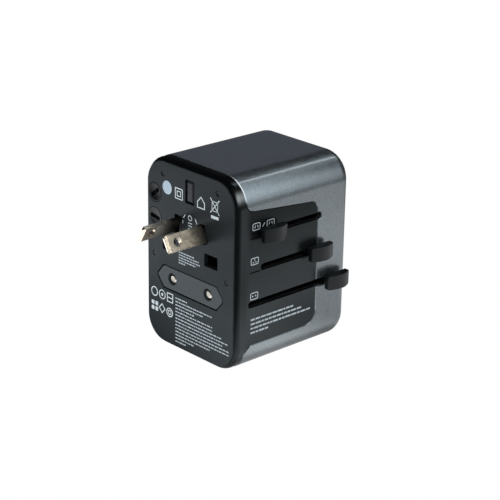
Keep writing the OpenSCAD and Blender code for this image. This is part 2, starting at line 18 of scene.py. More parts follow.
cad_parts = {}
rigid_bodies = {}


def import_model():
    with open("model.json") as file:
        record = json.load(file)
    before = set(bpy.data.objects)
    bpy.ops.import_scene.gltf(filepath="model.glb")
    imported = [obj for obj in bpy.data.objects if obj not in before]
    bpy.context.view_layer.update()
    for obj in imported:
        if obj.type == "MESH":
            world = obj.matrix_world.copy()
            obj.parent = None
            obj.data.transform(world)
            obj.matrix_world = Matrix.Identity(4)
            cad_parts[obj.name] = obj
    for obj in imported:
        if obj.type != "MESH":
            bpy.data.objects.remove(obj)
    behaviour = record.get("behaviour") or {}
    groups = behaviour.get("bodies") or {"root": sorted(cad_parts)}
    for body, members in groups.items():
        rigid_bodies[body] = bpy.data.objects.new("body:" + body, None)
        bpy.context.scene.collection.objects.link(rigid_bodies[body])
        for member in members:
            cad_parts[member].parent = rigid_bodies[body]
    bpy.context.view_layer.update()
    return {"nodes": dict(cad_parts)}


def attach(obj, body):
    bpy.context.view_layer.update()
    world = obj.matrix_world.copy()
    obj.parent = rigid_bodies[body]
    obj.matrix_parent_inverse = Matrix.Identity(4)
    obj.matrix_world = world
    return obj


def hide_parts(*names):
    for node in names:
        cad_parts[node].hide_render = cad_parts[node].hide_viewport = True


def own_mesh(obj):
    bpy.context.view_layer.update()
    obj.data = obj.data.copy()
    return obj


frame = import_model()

MM = 0.001
random.seed(7)   # fixes any draw from the shared generator; the prints have their own

# ------------------------------------------------------------ driving measures, in mm
WIDTH, HEIGHT, DEPTH, CORNER = 48.1, 70.6, 54.8, 10.2
SLEEVE_FRONT = 4.55                  # y of the sleeve's edge near the plug face
HOUSING_INSET = 0.12                 # the housing's outside lies this far inside the sleeve's
SOCKET_RIM, PLUG_RIM = 4.7, 2.5      # roundings round the socket end and the plug end
FLAT_X, FLAT_Z = 6.86, 12.8          # axes the flat blades turn about
RECT_X, RECT_Z, EARTH_Z = 11.11, 3.92, 26.15
ROUND_X, ROUND_Z = 9.5, -8.75
FLAT_SLOT_Z, RECT_SLOT_Z, ROUND_SLOT_Z = 15.4, 2.9, -9.85
FLAT_KNOB_Y, RECT_KNOB_Y, ROUND_KNOB_Y = 14.0, 36.8, 45.4
FUSE_X, FUSE_Z, SPARE_FUSE_Z = -18.8, 21.5, 12.3
SCREWS = [(14.35, 29.45), (-14.35, 29.45), (19.2, -1.3), (-19.2, -1.3)]   # x, z
USB_A_Y, USB_C_Y = (17, 25.5, 34), (41.4, 46.2)
PORTS_Y = 29.8                       # middle of the port panel

# in-plane axes of the four faces; their cross product points outward
X, Y, Z = Vector((1, 0, 0)), Vector((0, 1, 0)), Vector((0, 0, 1))
PLUG_AXES, SLIDER_AXES, SOCKET_AXES, UNDER_AXES = (X, Z), (Y, Z), (-X, Z), (X, -Y)


# ------------------------------------------------------------ plane figures
def arc(cx, cy, radius, start, end, steps):
    angles = [math.radians(start + (end - start) * i / steps) for i in range(steps + 1)]
    return [(cx + radius * math.cos(a), cy + radius * math.sin(a)) for a in angles]


def circle(cx, cy, radius, steps=48):
    return arc(cx, cy, radius, 0, 360, steps)[:-1]


def round_rect(width, height, radius, cx=0.0, cy=0.0, steps=10):
    x, y = width / 2 - radius, height / 2 - radius
    out = []
    for quarter, (sx, sy) in enumerate(((1, 1), (-1, 1), (-1, -1), (1, -1))):
        out += arc(cx + sx * x, cy + sy * y, radius, 90 * quarter, 90 * quarter + 90, steps)
    return out


def rounded(points, radii, steps):
    """A closed outline with each corner rounded to its own radius; 0 leaves it sharp."""
    out = []
    for i, radius in enumerate(radii):
        before, corner, after = (np.array(points[j % len(points)], float)
                                 for j in (i - 1, i, i + 1))
        if radius <= 0:
            out.append(tuple(corner))
            continue
        back = (before - corner) / np.linalg.norm(before - corner)
        ahead = (after - corner) / np.linalg.norm(after - corner)
        half = math.acos(np.clip(back @ ahead, -1, 1)) / 2
        middle = (back + ahead) / np.linalg.norm(back + ahead)
        centre = corner + middle * (radius / math.sin(half))
        reach = radius / math.tan(half)
        start, end = (math.atan2(*(corner + way * reach - centre)[::-1])
                      for way in (back, ahead))
        turn = (end - start + 3 * math.pi) % (2 * math.pi) - math.pi
        out += arc(*centre, radius, math.degrees(start), math.degrees(start + turn), steps)
    return out


def bow(cx, cy, radius, width, side):
    """The double wedge a blade turns in, between upright and 30 degrees.

    Side 1 leans left at the top, -1 right."""
    half = width / 2
    spread = math.degrees(math.asin(half / radius))
    waist = half / math.cos(math.radians(15))
    points = arc(0, 0, radius, 90 - spread, 120 + spread, 10) + [(-waist, 0.26 * half)]
    points += arc(0, 0, radius, 270 - spread, 300 + spread, 10) + [(waist, -0.26 * half)]
    return [(cx + side * x, cy + y) for x, y in points[::side]]


def bow_pair(x, z, radius, width):
    return [bow(side * x, z, radius, width, side) for side in (1, -1)]


def nose_hexagon(grow):
    """The nose's six-sided outline round the round pins, widened by grow."""
    x, z, tip = 14 + grow * 0.6, 4.15 + grow, 17.5 + grow
    points = [(x, z), (tip, 0), (x, -z), (-x, -z), (-tip, 0), (-x, z)]
    return [(px, ROUND_Z + pz) for px, pz in rounded(points, [1.2] * 6, 5)]


def mirror_x(loop):
    return [(-x, y) for x, y in loop][::-1]


def mirror_y(loop):
    return [(x, -y) for x, y in loop][::-1]


# ------------------------------------------------------------ shader node helpers
MATERIALS = {}


def feed(shader_node, inputs):
    """Links or sets each input, by whether its value is a socket or a number."""
    for key, value in inputs.items():
        if isinstance(value, bpy.types.NodeSocket):
            shader_node.id_data.links.new(value, shader_node.inputs[key])
        else:
            shader_node.inputs[key].default_value = value


def node(tree, kind, inputs=None, **settings):
    made = tree.nodes.new("ShaderNode" + kind)
    for key, value in settings.items():
        setattr(made, key, value)
    feed(made, inputs or {})
    return made


def new_material(name):
    material = bpy.data.materials.new(name)
    material.use_nodes = True
    tree = material.node_tree
    tree.nodes.clear()
    output = node(tree, "OutputMaterial")
    bsdf = node(tree, "BsdfPrincipled")
    feed(output, {0: bsdf.outputs[0]})
    MATERIALS[name] = material
    return tree, bsdf


def noise(tree, scale, detail, roughness, stretch=None):
    """Noise in object coordinates, which may be scaled unevenly first."""
    vector = node(tree, "TexCoord").outputs["Object"]
    if stretch:
        vector = node(tree, "Mapping", {"Scale": stretch, 0: vector}).outputs[0]
    return node(tree, "TexNoise", {"Scale": scale, "Detail": detail, "Roughness": roughness,
                                   "Vector": vector}).outputs[0]


def ramp(tree, source, low_colour, high_colour, low=0.3, high=0.7):
    made = node(tree, "ValToRGB", {0: source})
    stops = zip(made.color_ramp.elements, (low, high), (low_colour, high_colour))
    for element, position, colour in stops:
        element.position = position
        element.color = (*colour, 1)
    return made.outputs[0]


def varied(tree, source, colour, share):
    """A colour that wanders by a share of itself either way."""
    return ramp(tree, source, [c * (1 - share) for c in colour],
                [min(1, c * (1 + share)) for c in colour])


def to_range(tree, source, to_min, to_max, from_min=0.3, from_max=0.7, smooth=False):
    return node(tree, "MapRange",
                {"From Min": from_min, "From Max": from_max,
                 "To Min": to_min, "To Max": to_max, 0: source},
                interpolation_type="SMOOTHSTEP" if smooth else "LINEAR").outputs[0]


def calc(tree, operation, first, second=None):
    inputs = {0: first} if second is None else {0: first, 1: second}
    return node(tree, "Math", inputs, operation=operation).outputs[0]


def mix_colour(tree, factor, first, second, blend="MIX"):
    return node(tree, "Mix", {0: factor, 6: first, 7: second},
                data_type="RGBA", blend_type=blend).outputs[2]


def split_xyz(tree, vector):
    return node(tree, "SeparateXYZ", {0: vector}).outputs


def bump(tree, bsdf, height, strength, distance):
    made = node(tree, "Bump", {"Strength": strength, "Distance": distance, "Height": height})
    feed(bsdf, {"Normal": made.outputs[0]})
    return made


def glow(tree, kind, colour, strength):
    """An Emission or a Background."""
    return node(tree, kind, {0: (*colour, 1), 1: strength}).outputs[0]


def by_ray(tree, camera, glossy, other):
    """One shader for camera rays, one for glossy rays and one for all the rest."""
    path = node(tree, "LightPath").outputs
    mixed = node(tree, "MixShader", {0: path["Is Glossy Ray"], 1: other, 2: glossy}).outputs[0]
    return node(tree, "MixShader", {0: path["Is Camera Ray"], 1: mixed, 2: camera}).outputs[0]


# ------------------------------------------------------------ materials
def lacquer():
    """Gunmetal lacquer: fine metal flake in a satin base under a smoother clear coat."""
    tree, bsdf = new_material("gunmetal_lacquer")
    flake = noise(tree, scale=2300, detail=3, roughness=0.7)
    cloud = noise(tree, scale=260, detail=4, roughness=0.6)
    wide = noise(tree, scale=45, detail=3, roughness=0.5)
    flakes = ramp(tree, flake, (0.160, 0.179, 0.191), (0.272, 0.301, 0.318),
                  low=0.32, high=0.68)
    clouds = ramp(tree, cloud, (0.43,) * 3, (0.57,) * 3)
    feed(bsdf, {
        "Base Color": mix_colour(tree, 0.6, flakes, clouds, "OVERLAY"),
        "Metallic": 0.95,
        "Roughness": to_range(tree, cloud, to_min=0.30, to_max=0.40),
        "Coat Weight": 1.0,
        "Coat IOR": 1.5,
        "Coat Roughness": to_range(tree, wide, to_min=0.06, to_max=0.10),
    })
    bump(tree, bsdf, flake, strength=0.09, distance=0.00002)


def housing_plastic():
    """The housing's black plastic: polished round the plug face, satin on the slider panel."""
    tree, bsdf = new_material("housing_abs")
    place = split_xyz(tree, node(tree, "TexCoord").outputs["Object"])
    zone = to_range(tree, place[1], to_min=0, to_max=1, from_min=0.0042, from_max=0.0068)
    fine = noise(tree, scale=2200, detail=3, roughness=0.55)
    big = noise(tree, scale=120, detail=3, roughness=0.5)

    def blend(polished, satin):
        return node(tree, "Mix", {0: zone, 2: polished, 3: satin}).outputs[0]

    # the satin part's sheen over the height, from low z to high z: position, level
    height = to_range(tree, place[2], to_min=0, to_max=1, from_min=-0.027, from_max=0.024)
    sheen = node(tree, "ValToRGB", {0: height})
    sheen.color_ramp.elements.new(0.32)
    levels = ((0.0, 0.30), (0.32, 0.62), (1.0, 0.16))
    for element, (position, level) in zip(sheen.color_ramp.elements, levels):
        element.position = position
        element.color = (level, level, level, 1)
    polished = ramp(tree, big, (0.0010, 0.0013, 0.0015), (0.0016, 0.0019, 0.0021))
    satin = ramp(tree, big, (0.0026, 0.0033, 0.0037), (0.0038, 0.0047, 0.0052))
    feed(bsdf, {
        "Base Color": mix_colour(tree, zone, polished, satin),
        "Roughness": blend(to_range(tree, big, to_min=0.20, to_max=0.25),
                           to_range(tree, fine, to_min=0.27, to_max=0.34)),
        "Specular Tint": (0.88, 1.0, 1.04, 1.0),
        "Specular IOR Level": blend(0.42, sheen.outputs[0]),
    })
    grain = bump(tree, bsdf, fine, strength=0.1, distance=0.00003)
    feed(grain, {"Strength": blend(0.02, 0.14)})


def plastic(name, colour, roughness, spread, grain, strength, specular, share):
    tree, bsdf = new_material(name)
    fine = noise(tree, scale=grain, detail=3, roughness=0.55)
    big = noise(tree, scale=90, detail=3, roughness=0.5)
    feed(bsdf, {
        "Base Color": varied(tree, big, colour, share),
        "Roughness": to_range(tree, big, roughness - spread, roughness + spread),
        "Specular IOR Level": specular,
    })
    bump(tree, bsdf, fine, strength, distance=0.00004)


def metal(name, colour, roughness, spread, stretch, grain, strength, share, cloud, metallic,
          face_shade=None):
    tree, bsdf = new_material(name)
    fine = noise(tree, scale=grain, detail=4, roughness=0.6, stretch=stretch)
    wide = noise(tree, scale=cloud, detail=3, roughness=0.55)
    tone = varied(tree, wide, colour, share)
    if face_shade:   # painted shade: darker towards the face plate, where the blade reflects the dark face and its slot
        start, end, kept = face_shade
        place = split_xyz(tree, node(tree, "TexCoord").outputs["Object"])
        base_shade = to_range(tree, place[1], 1.0, kept, start * MM, end * MM)
        tone = mix_colour(tree, 1.0, tone, base_shade, "MULTIPLY")
    feed(bsdf, {
        "Base Color": tone,
        "Roughness": to_range(tree, fine, roughness - spread, roughness + spread),
        "Metallic": metallic,
    })
    bump(tree, bsdf, fine, strength, distance=0.00003)


# name, colour, roughness, its spread, grain scale, bump strength, specular, colour variation
PLASTICS = [
    ("black_abs", (0.009, 0.0105, 0.0115), 0.32, 0.04, 2200, 0.10, 0.4, 0.12),
    ("charcoal_abs", (0.0118, 0.0150, 0.0172), 0.44, 0.04, 3000, 0.35, 0.5, 0.06),
    ("knob_abs", (0.0056, 0.0078, 0.0092), 0.36, 0.04, 2600, 0.3, 0.42, 0.08),
    ("nose_abs", (0.061, 0.071, 0.078), 0.46, 0.04, 3000, 0.25, 0.45, 0.06),
    # painted shade: near-black for what is seen inside recesses, such as the coin slots' floors
    # and the slot grooves
    ("recess_black", (0.0012, 0.0014, 0.0016), 0.7, 0.04, 3000, 0.2, 0.08, 0.1),
    # lit and shaded copies of one cap plastic: the fuse cap is darker and less glossy than the
    # spare, as painted shade
    ("spare_cap_abs", (0.0066, 0.0085, 0.0112), 0.34, 0.04, 3000, 0.2, 0.5, 0.06),
    ("fuse_cap_abs", (0.0036, 0.0042, 0.0052), 0.34, 0.04, 3000, 0.2, 0.28, 0.06),
    ("inner_abs", (0.02, 0.02, 0.022), 0.55, 0.05, 1800, 0.3, 0.4, 0.1),
    ("pin_nylon", (0.022, 0.022, 0.026), 0.34, 0.05, 1800, 0.15, 0.5, 0.1),
    ("white_nylon", (0.72, 0.70, 0.65), 0.42, 0.05, 1800, 0.2, 0.5, 0.05),
    ("ceramic", (0.78, 0.76, 0.70), 0.22, 0.05, 1200, 0.1, 0.5, 0.04),
    ("solder_mask", (0.006, 0.045, 0.022), 0.3, 0.08, 900, 0.3, 0.5, 0.25),
    ("yellow_tape", (0.72, 0.50, 0.06), 0.35, 0.06, 700, 0.3, 0.5, 0.12),
    ("capacitor_sleeve", (0.03, 0.045, 0.16), 0.3, 0.05, 900, 0.15, 0.5, 0.1),
    ("chip_epoxy", (0.02, 0.02, 0.022), 0.6, 0.05, 3000, 0.5, 0.4, 0.1),
    ("wire_insulation", (0.055, 0.022, 0.012), 0.4, 0.05, 900, 0.2, 0.5, 0.1),
    ("clear_acrylic", (0.80, 0.86, 0.90), 0.15, 0.03, 900, 0.05, 0.5, 0.03),
    ("pad_print_disc", (0.46, 0.56, 0.64), 0.5, 0.04, 4000, 0.25, 0.4, 0.14),
    ("pad_print", (0.62, 0.68, 0.71), 0.5, 0.04, 4000, 0.25, 0.4, 0.1),
    ("pad_print_fine", (0.50, 0.56, 0.60), 0.5, 0.04, 4000, 0.25, 0.4, 0.12),
]
# name, colour, roughness, its spread, grain stretch, grain scale, bump strength,
# colour variation, its scale, metallic, painted shade towards the face plate (start y, end y in
# mm, share kept)
METALS = [
    ("nickel_plate", (0.60, 0.555, 0.47), 0.30, 0.07, (1, 0.6, 1), 900, 0.06, 0.26, 700, 0.92),
    ("nickel_blade", (0.62, 0.57, 0.48), 0.30, 0.05, (1, 0.6, 1), 900, 0.05, 0.13, 420, 0.92,
     (-7.0, -0.3, 0.42)),
    # the left blade's copy is a more shaded one, painted shade: its face turns down, away from
    # the light
    ("nickel_blade_worn", (0.66, 0.57, 0.48), 0.29, 0.04, (1, 0.6, 1), 700, 0.03, 0.12, 380,
     0.94, (-9.5, -3.0, 0.12)),
    ("nickel_pin", (0.86, 0.79, 0.70), 0.2, 0.06, (1, 1, 1), 2600, 0.08, 0.08, 240, 1.0),
    ("brass_strip", (0.30, 0.21, 0.09), 0.4, 0.08, (1, 0.2, 1), 1500, 0.12, 0.12, 160, 1.0),
    ("tinned_steel", (0.62, 0.63, 0.64), 0.28, 0.08, (1, 1, 0.15), 1700, 0.12, 0.08, 160, 1.0),
    ("black_zinc", (0.10, 0.10, 0.105), 0.38, 0.08, (1, 1, 1), 1700, 0.15, 0.1, 160, 1.0),
    ("copper_winding", (0.72, 0.33, 0.14), 0.32, 0.08, (1, 1, 6), 1200, 0.5, 0.15, 160, 1.0),
]


def principled(name):
    return MATERIALS[name].node_tree.nodes["Principled BSDF"]


def shade_level_faces(name, upright, level):
    """Less sheen on faces that look up or down, as painted shade over their tops."""
    tree = MATERIALS[name].node_tree
    normal = split_xyz(tree, node(tree, "NewGeometry").outputs["Normal"])
    tilt = calc(tree, "ABSOLUTE", normal[2])
    sheen = to_range(tree, tilt, upright, level, from_min=0.45, from_max=0.85)
    feed(principled(name), {"Specular IOR Level": sheen})


lacquer()
housing_plastic()
for row in PLASTICS:
    plastic(*row)
for row in METALS:
    metal(*row)
feed(principled("charcoal_abs"), {"Specular Tint": (0.88, 1.0, 1.06, 1.0)})
# painted shade: the knobs' tops get little sheen
shade_level_faces("knob_abs", upright=0.46, level=0.06)


# ------------------------------------------------------------ mesh making
def piece(name, verts, faces, body, material, slot, replaces=None, normals=None):
    mesh = bpy.data.meshes.new(name)
    mesh.from_pydata([tuple(c * MM for c in v) for v in verts], [], faces)
    mesh.update()
    mesh.polygons.foreach_set("use_smooth", [True] * len(mesh.polygons))
    ob = bpy.data.objects.new(name, mesh)
    bpy.context.scene.collection.objects.link(ob)
    if normals is not None:
        mesh.normals_split_custom_set([tuple(n) for n in normals])
    mesh.materials.append(MATERIALS[material])
    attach(ob, body)
    if replaces:
        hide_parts(replaces)
    return ob


def corner_normals(bm, limit, weigh):
    """A normal per face corner: the weighted mean of its vertex's faces that turn away
    from the corner's own face by less than limit degrees."""
    bm.verts.index_update()
    bm.faces.index_update()
    bm.normal_update()
    cos_limit = math.cos(math.radians(limit))
    weights = [weigh(face) for face in bm.faces]
    out = []
    for face in bm.faces:
        for vert in face.verts:
            total = Vector((0, 0, 0))
            for near in vert.link_faces:
                if face.normal.dot(near.normal) > cos_limit:
                    total += near.normal * weights[near.index]
            out.append(total.normalized() if total.length > 0 else face.normal.copy())
    return out


def flat_first(face):
    """A weight that keeps a plate's flat faces flat, so its rounded edges blend between them."""
    up = abs(face.normal.z)
    return face.calc_area() * (1e6 if up > 0.9995 else 1e3 if up < 0.02 else 1.0) + 1e-12


def smooth_by_angle(ob, degrees):
    """Area-weighted smooth corner normals, kept sharp above an angle."""
    bm = bmesh.new()
    bm.from_mesh(ob.data)
    normals = corner_normals(bm, degrees, lambda face: face.calc_area())
    bm.free()
    ob.data.polygons.foreach_set("use_smooth", [True] * len(ob.data.polygons))
    ob.data.normals_split_custom_set([tuple(n) for n in normals])


def face_outward(ob, degrees, weld=0.0):
    """Turns all faces outward, after joining close points if asked, then smooths."""
    bm = bmesh.new()
    bm.from_mesh(ob.data)
    if weld:
        bmesh.ops.remove_doubles(bm, verts=bm.verts, dist=weld)
    bmesh.ops.recalc_face_normals(bm, faces=bm.faces)
    bm.to_mesh(ob.data)
    bm.free()
    smooth_by_angle(ob, degrees)


def slice_mesh(bm, point, normal, clear=False):
    """Cuts new edges along a plane, and may clear what lies beyond it."""
    bmesh.ops.bisect_plane(bm, geom=bm.verts[:] + bm.edges[:] + bm.faces[:], dist=1e-5,
                           plane_co=point, plane_no=normal, clear_outer=clear)


def plate_bmesh(loops, thick, bevel, bevel_steps):
    """A flat plate with rounded edges from closed loops (outline and holes).

    Its top is at +thick/2."""
    curve = bpy.data.curves.new("tmp", "CURVE")
    curve.dimensions = "2D"
    curve.fill_mode = "BOTH"
    curve.extrude = thick / 2 - bevel
    curve.bevel_depth = bevel
    curve.bevel_resolution = bevel_steps
    curve.offset = -bevel
    for loop in loops:
        spline = curve.splines.new("POLY")
        spline.points.add(len(loop) - 1)
        for point, (x, y) in zip(spline.points, loop):
            point.co = (x, y, 0, 1)
        spline.use_cyclic_u = True
    ob = bpy.data.objects.new("tmp", curve)
    bpy.context.scene.collection.objects.link(ob)
    depsgraph = bpy.context.evaluated_depsgraph_get()
    mesh = bpy.data.meshes.new_from_object(ob.evaluated_get(depsgraph))
    bpy.data.objects.remove(ob)
    bpy.data.curves.remove(curve)
    bm = bmesh.new()
    bm.from_mesh(mesh)
    bpy.data.meshes.remove(mesh)
    bmesh.ops.remove_doubles(bm, verts=bm.verts, dist=1e-4)
    bmesh.ops.dissolve_degenerate(bm, edges=bm.edges, dist=1e-4)
    return bm


def plate(name, loops, thick, bevel, origin, axes, body, material, slot,
          bevel_steps=2, edit=None, replaces=None):
    """A plate whose top face lies in the plane through origin spanned by the two axes.

    Edit may reshape the flat mesh before it is put in place."""
    origin = Vector(origin)
    across, up = axes
    out = across.cross(up)
    bm = plate_bmesh(loops, thick, bevel, bevel_steps)
    if edit:
        edit(bm)
    normals = [across * n.x + up * n.y + out * n.z
               for n in corner_normals(bm, 50, flat_first)]
    verts = [origin + across * v.co.x + up * v.co.y + out * (v.co.z - thick / 2)
             for v in bm.verts]
    faces = [[v.index for v in face.verts] for face in bm.faces]
    bm.free()
    return piece(name, verts, faces, body, material, slot, replaces, normals)


def loft(rings):
    """Vertices and faces of a capped tube through closed rings of points."""
    count = len(rings[0])
    verts = [point for ring_points in rings for point in ring_points]
    faces = []
    for j in range(len(rings) - 1):
        for i in range(count):
            a, b = j * count + i, j * count + (i + 1) % count
            faces.append((a, b, b + count, a + count))
    faces.append(tuple(range(count))[::-1])
    faces.append(tuple(range((len(rings) - 1) * count, len(rings) * count)))
    return verts, faces


def lathe(name, profile, origin, body, material, slot, segments=64, replaces=None):
    """A solid turned about +Y; profile is (radius, y) from the axis out and back to it."""
    ox, oy, oz = origin
    turns = [2 * math.pi * i / segments for i in range(segments)]
    verts, faces, rings = [], [], []
    for radius, along in profile:
        first = len(verts)
        if radius < 1e-6:
            verts.append((ox, oy + along, oz))
        else:
            verts += [(ox - radius * math.cos(a), oy + along, oz + radius * math.sin(a))
                      for a in turns]
        rings.append(list(range(first, len(verts))))
    for a, b in zip(rings, rings[1:]):
        if len(a) == 1 and len(b) == 1:
            continue
        for i in range(segments):
            j = (i + 1) % segments
            if len(a) == 1:
                faces.append((b[j], b[i], a[0]))
            elif len(b) == 1:
                faces.append((a[i], a[j], b[0]))
            else:
                faces.append((a[i], a[j], b[j], b[i]))
    ob = piece(name, verts, faces, body, material, slot, replaces)
    face_outward(ob, 42)


# ------------------------------------------------------------ wrapping a plate round the body
# s runs along the outline of the body, clockwise seen from the plug end, from the middle of
# the -X side; t runs along the body from the plug end and over the rim of the socket end.
QUARTER = math.pi * CORNER / 2
CENTRE_X, CENTRE_Z = WIDTH / 2 - CORNER, HEIGHT / 2 - CORNER   # centres of the corner arcs
CORNER_CENTRES = [(-CENTRE_X, CENTRE_Z), (CENTRE_X, CENTRE_Z),
                  (CENTRE_X, -CENTRE_Z), (-CENTRE_X, -CENTRE_Z)]
# where each part starts: flats at even places, corner arcs at odd ones
STARTS = [-CENTRE_Z] + list(accumulate(
    [CENTRE_Z, QUARTER, 2 * CENTRE_X, QUARTER, 2 * CENTRE_Z, QUARTER, 2 * CENTRE_X, QUARTER]))
LENGTH = STARTS[8] + CENTRE_Z
BAND_START, BAND_END = -3.0, LENGTH + 3   # bands are drawn too long, then cut to one turn


def around(s):
    """The point a corner radius inside the outline at s, and the outward direction."""
    part = bisect_right(STARTS, s) - 1
    past = s - STARTS[part]
    angle = math.pi - part // 2 * math.pi / 2
    if part % 2:
        x, z = CORNER_CENTRES[part // 2]
        angle -= past / CORNER
    else:
        x, z = CORNER_CENTRES[part // 2 - 1]
        x += math.sin(angle) * past
        z -= math.cos(angle) * past
    return Vector((x, 0, z)), Vector((math.cos(angle), 0, math.sin(angle)))


def on_side(y, z):
    """(s, t) of a place on the slider side."""
    if z > CENTRE_Z:
        return STARTS[4] - CORNER * math.asin(min(1, (z - CENTRE_Z) / CORNER)), y
    if z < -CENTRE_Z:
        return STARTS[5] + CORNER * math.asin(min(1, (-CENTRE_Z - z) / CORNER)), y
    return STARTS[4] + CENTRE_Z - z, y


def lengthwise(t):
    """(offset inward, y, normal's outward part, normal's y part) at t."""
    if t < PLUG_RIM:
        turn = (PLUG_RIM - t) / PLUG_RIM
        return (PLUG_RIM * (1 - math.cos(turn)), PLUG_RIM * (1 - math.sin(turn)),
                math.cos(turn), -math.sin(turn))
    straight = DEPTH - SOCKET_RIM
    if t <= straight:
        return 0.0, t, 1.0, 0.0
    turn = (t - straight) / SOCKET_RIM
    if turn < math.pi / 2:
        return (SOCKET_RIM * (1 - math.cos(turn)), straight + SOCKET_RIM * math.sin(turn),
                math.cos(turn), math.sin(turn))
    return SOCKET_RIM + t - straight - SOCKET_RIM * math.pi / 2, DEPTH, 0.0, 1.0


def wrap(name, loops, thick, depth, bevel, material, slot, t_lines=(), bevel_steps=2,
         limit=50, replaces=None):
    """Bends a flat band of loops in (s, t) round the body, its outside at depth."""
    bm = plate_bmesh(loops, thick, bevel, bevel_steps)
    for start in STARTS[1::2]:
        for i in range(27):
            slice_mesh(bm, (start + QUARTER * i / 26, 0, 0), (1, 0, 0))
    for t in t_lines:
        slice_mesh(bm, (0, t, 0), (0, 1, 0))
    slice_mesh(bm, (0, 0, 0), (-1, 0, 0), clear=True)
    slice_mesh(bm, (LENGTH, 0, 0), (1, 0, 0), clear=True)
    flat = iter(corner_normals(bm, limit, flat_first))

    # bent points, with those of the band's two ends welded
    points, axes, welded, seen = [], [], [], {}
    for vert in bm.verts:
        centre, outward = around(min(max(vert.co.x, 0), LENGTH - 1e-9))
        inset, y, normal_out, normal_y = lengthwise(vert.co.y)
        normal = outward * normal_out + Y * normal_y
        axes.append((Y.cross(outward), outward * -normal_y + Y * normal_out, normal))
        point = (centre + outward * (CORNER - inset) + Y * y
                 - normal * (depth + thick / 2 - vert.co.z))
        key = tuple(round(c * 2e3) for c in point)
        if key not in seen:
            seen[key] = len(points)
            points.append(point)
        welded.append(seen[key])
    faces, normals = [], []
    for face in bm.faces:
        corners = {}
        for vert in face.verts:
            n = next(flat)
            along_s, along_t, normal = axes[vert.index]
            corners.setdefault(welded[vert.index],
                               along_s * n.x + along_t * n.y + normal * n.z)
        if len(corners) > 2:
            faces.append(list(corners))
            normals += corners.values()
    bm.free()
    piece(name, points, faces, "housing", material, slot, replaces, normals)


# ------------------------------------------------------------ sleeve, housing and liner
PANEL_GAP = 0.07            # between the slider panel and the sleeve's cut-out
# the cut-out's corners on the slider side, (y, z), from the top one near the plug face
CUT_TOP, CUT_FAR_TOP = (8.8, 23.8), (38.1, 21.0)
CUT_FAR_LOW, CUT_LOW = (38.6, -24.9), (8.4, -25.12)
# slots: z, near end, far end in the liner, far end in the sleeve
SLOTS = [(FLAT_SLOT_Z, 10.9, 40.2, 40.3), (RECT_SLOT_Z, 11.5, 40.2, 40.3),
         (ROUND_SLOT_Z, 5.9, 48.7, 48.9)]
PANEL_SLOT, SLEEVE_SLOT, LINER_SLOT = 2.5, 2.6, 2.7   # slot widths


def cut_out(gap, far_radii, far_edge):
    """The cut-out's boundary from top to bottom, shrunk by gap; far_edge holds the points
    put between its two far corners."""
    corners = rounded([(CUT_TOP[0], CUT_TOP[1] - gap),
                       (CUT_FAR_TOP[0] - gap, CUT_FAR_TOP[1] - gap),
                       (CUT_FAR_LOW[0] - gap, CUT_FAR_LOW[1] + gap),
                       (CUT_LOW[0], CUT_LOW[1] + gap)], [0, *far_radii, 0], 10)[1:-1]
    half = len(corners) // 2
    return (arc(8.8 - gap, 28.1 - gap, 4.25 + gap, 180, 270, 18) + corners[:half] + far_edge
            + corners[half:] + arc(8.4 - gap, -29.1 + gap, 3.98 + gap, 90, 165, 16))


def far_edge_y(z):
    """The cut-out's slightly slanted far edge."""
    (top_y, top_z), (low_y, low_z) = CUT_FAR_TOP, CUT_FAR_LOW
    return top_y + (low_y - top_y) * (top_z - z) / (top_z - low_z)


def notch(edge_y, centre_y, z, width, turn, steps):
    """A round-ended inlet from edge_y, its end turning by turn degrees about centre_y."""
    half = width / 2
    return ([(edge_y, z + half)] + arc(centre_y, z, half, 90, 90 + turn, steps)
            + [(edge_y, z - half)])


def sleeve_outline():
    notches = []
    for z, _, _, end in SLOTS:
        notches += notch(far_edge_y(z), end - SLEEVE_SLOT / 2, z, SLEEVE_SLOT, -180, 10)
    edge = [on_side(y, z) for y, z in cut_out(0, (3.2, 5.0), notches)
            if y > SLEEVE_FRONT + 0.02]
    end = DEPTH - SOCKET_RIM + SOCKET_RIM * math.pi / 2 + 0.3
    return ([(BAND_START, SLEEVE_FRONT), on_side(SLEEVE_FRONT, 28.1)] + edge
            + [on_side(SLEEVE_FRONT, -28.05), (BAND_END, SLEEVE_FRONT), (BAND_END, end),
               (BAND_START, end)])


def housing_outline():
    """The collar with the slider panel; the slots run out of the panel's far edge."""
    slots = []
    for z, start, _, _ in SLOTS:
        slots += notch(far_edge_y(z) - PANEL_GAP, start + PANEL_SLOT / 2, z, PANEL_SLOT,
                       180, 14)
    edge = [on_side(y, z) for y, z in cut_out(PANEL_GAP, (3.15, 4.95), slots)
            if y > SLEEVE_FRONT - 0.04 and z < 28.0]
    start = PLUG_RIM - PLUG_RIM * math.acos(1 - (1.3 - HOUSING_INSET) / PLUG_RIM)
    front = SLEEVE_FRONT - 0.06
    return ([(BAND_START, start), (BAND_END, start), (BAND_END, front), on_side(front, -28.3)]
            + edge[::-1] + [on_side(front, 28.2), (BAND_START, front)])


def liner_slot(z, start, end):
    half = LINER_SLOT / 2
    loop = arc(end - half, z, half, -90, 90, 12) + arc(start + half, z, half, 90, 270, 12)
    return [on_side(y, q) for y, q in loop]


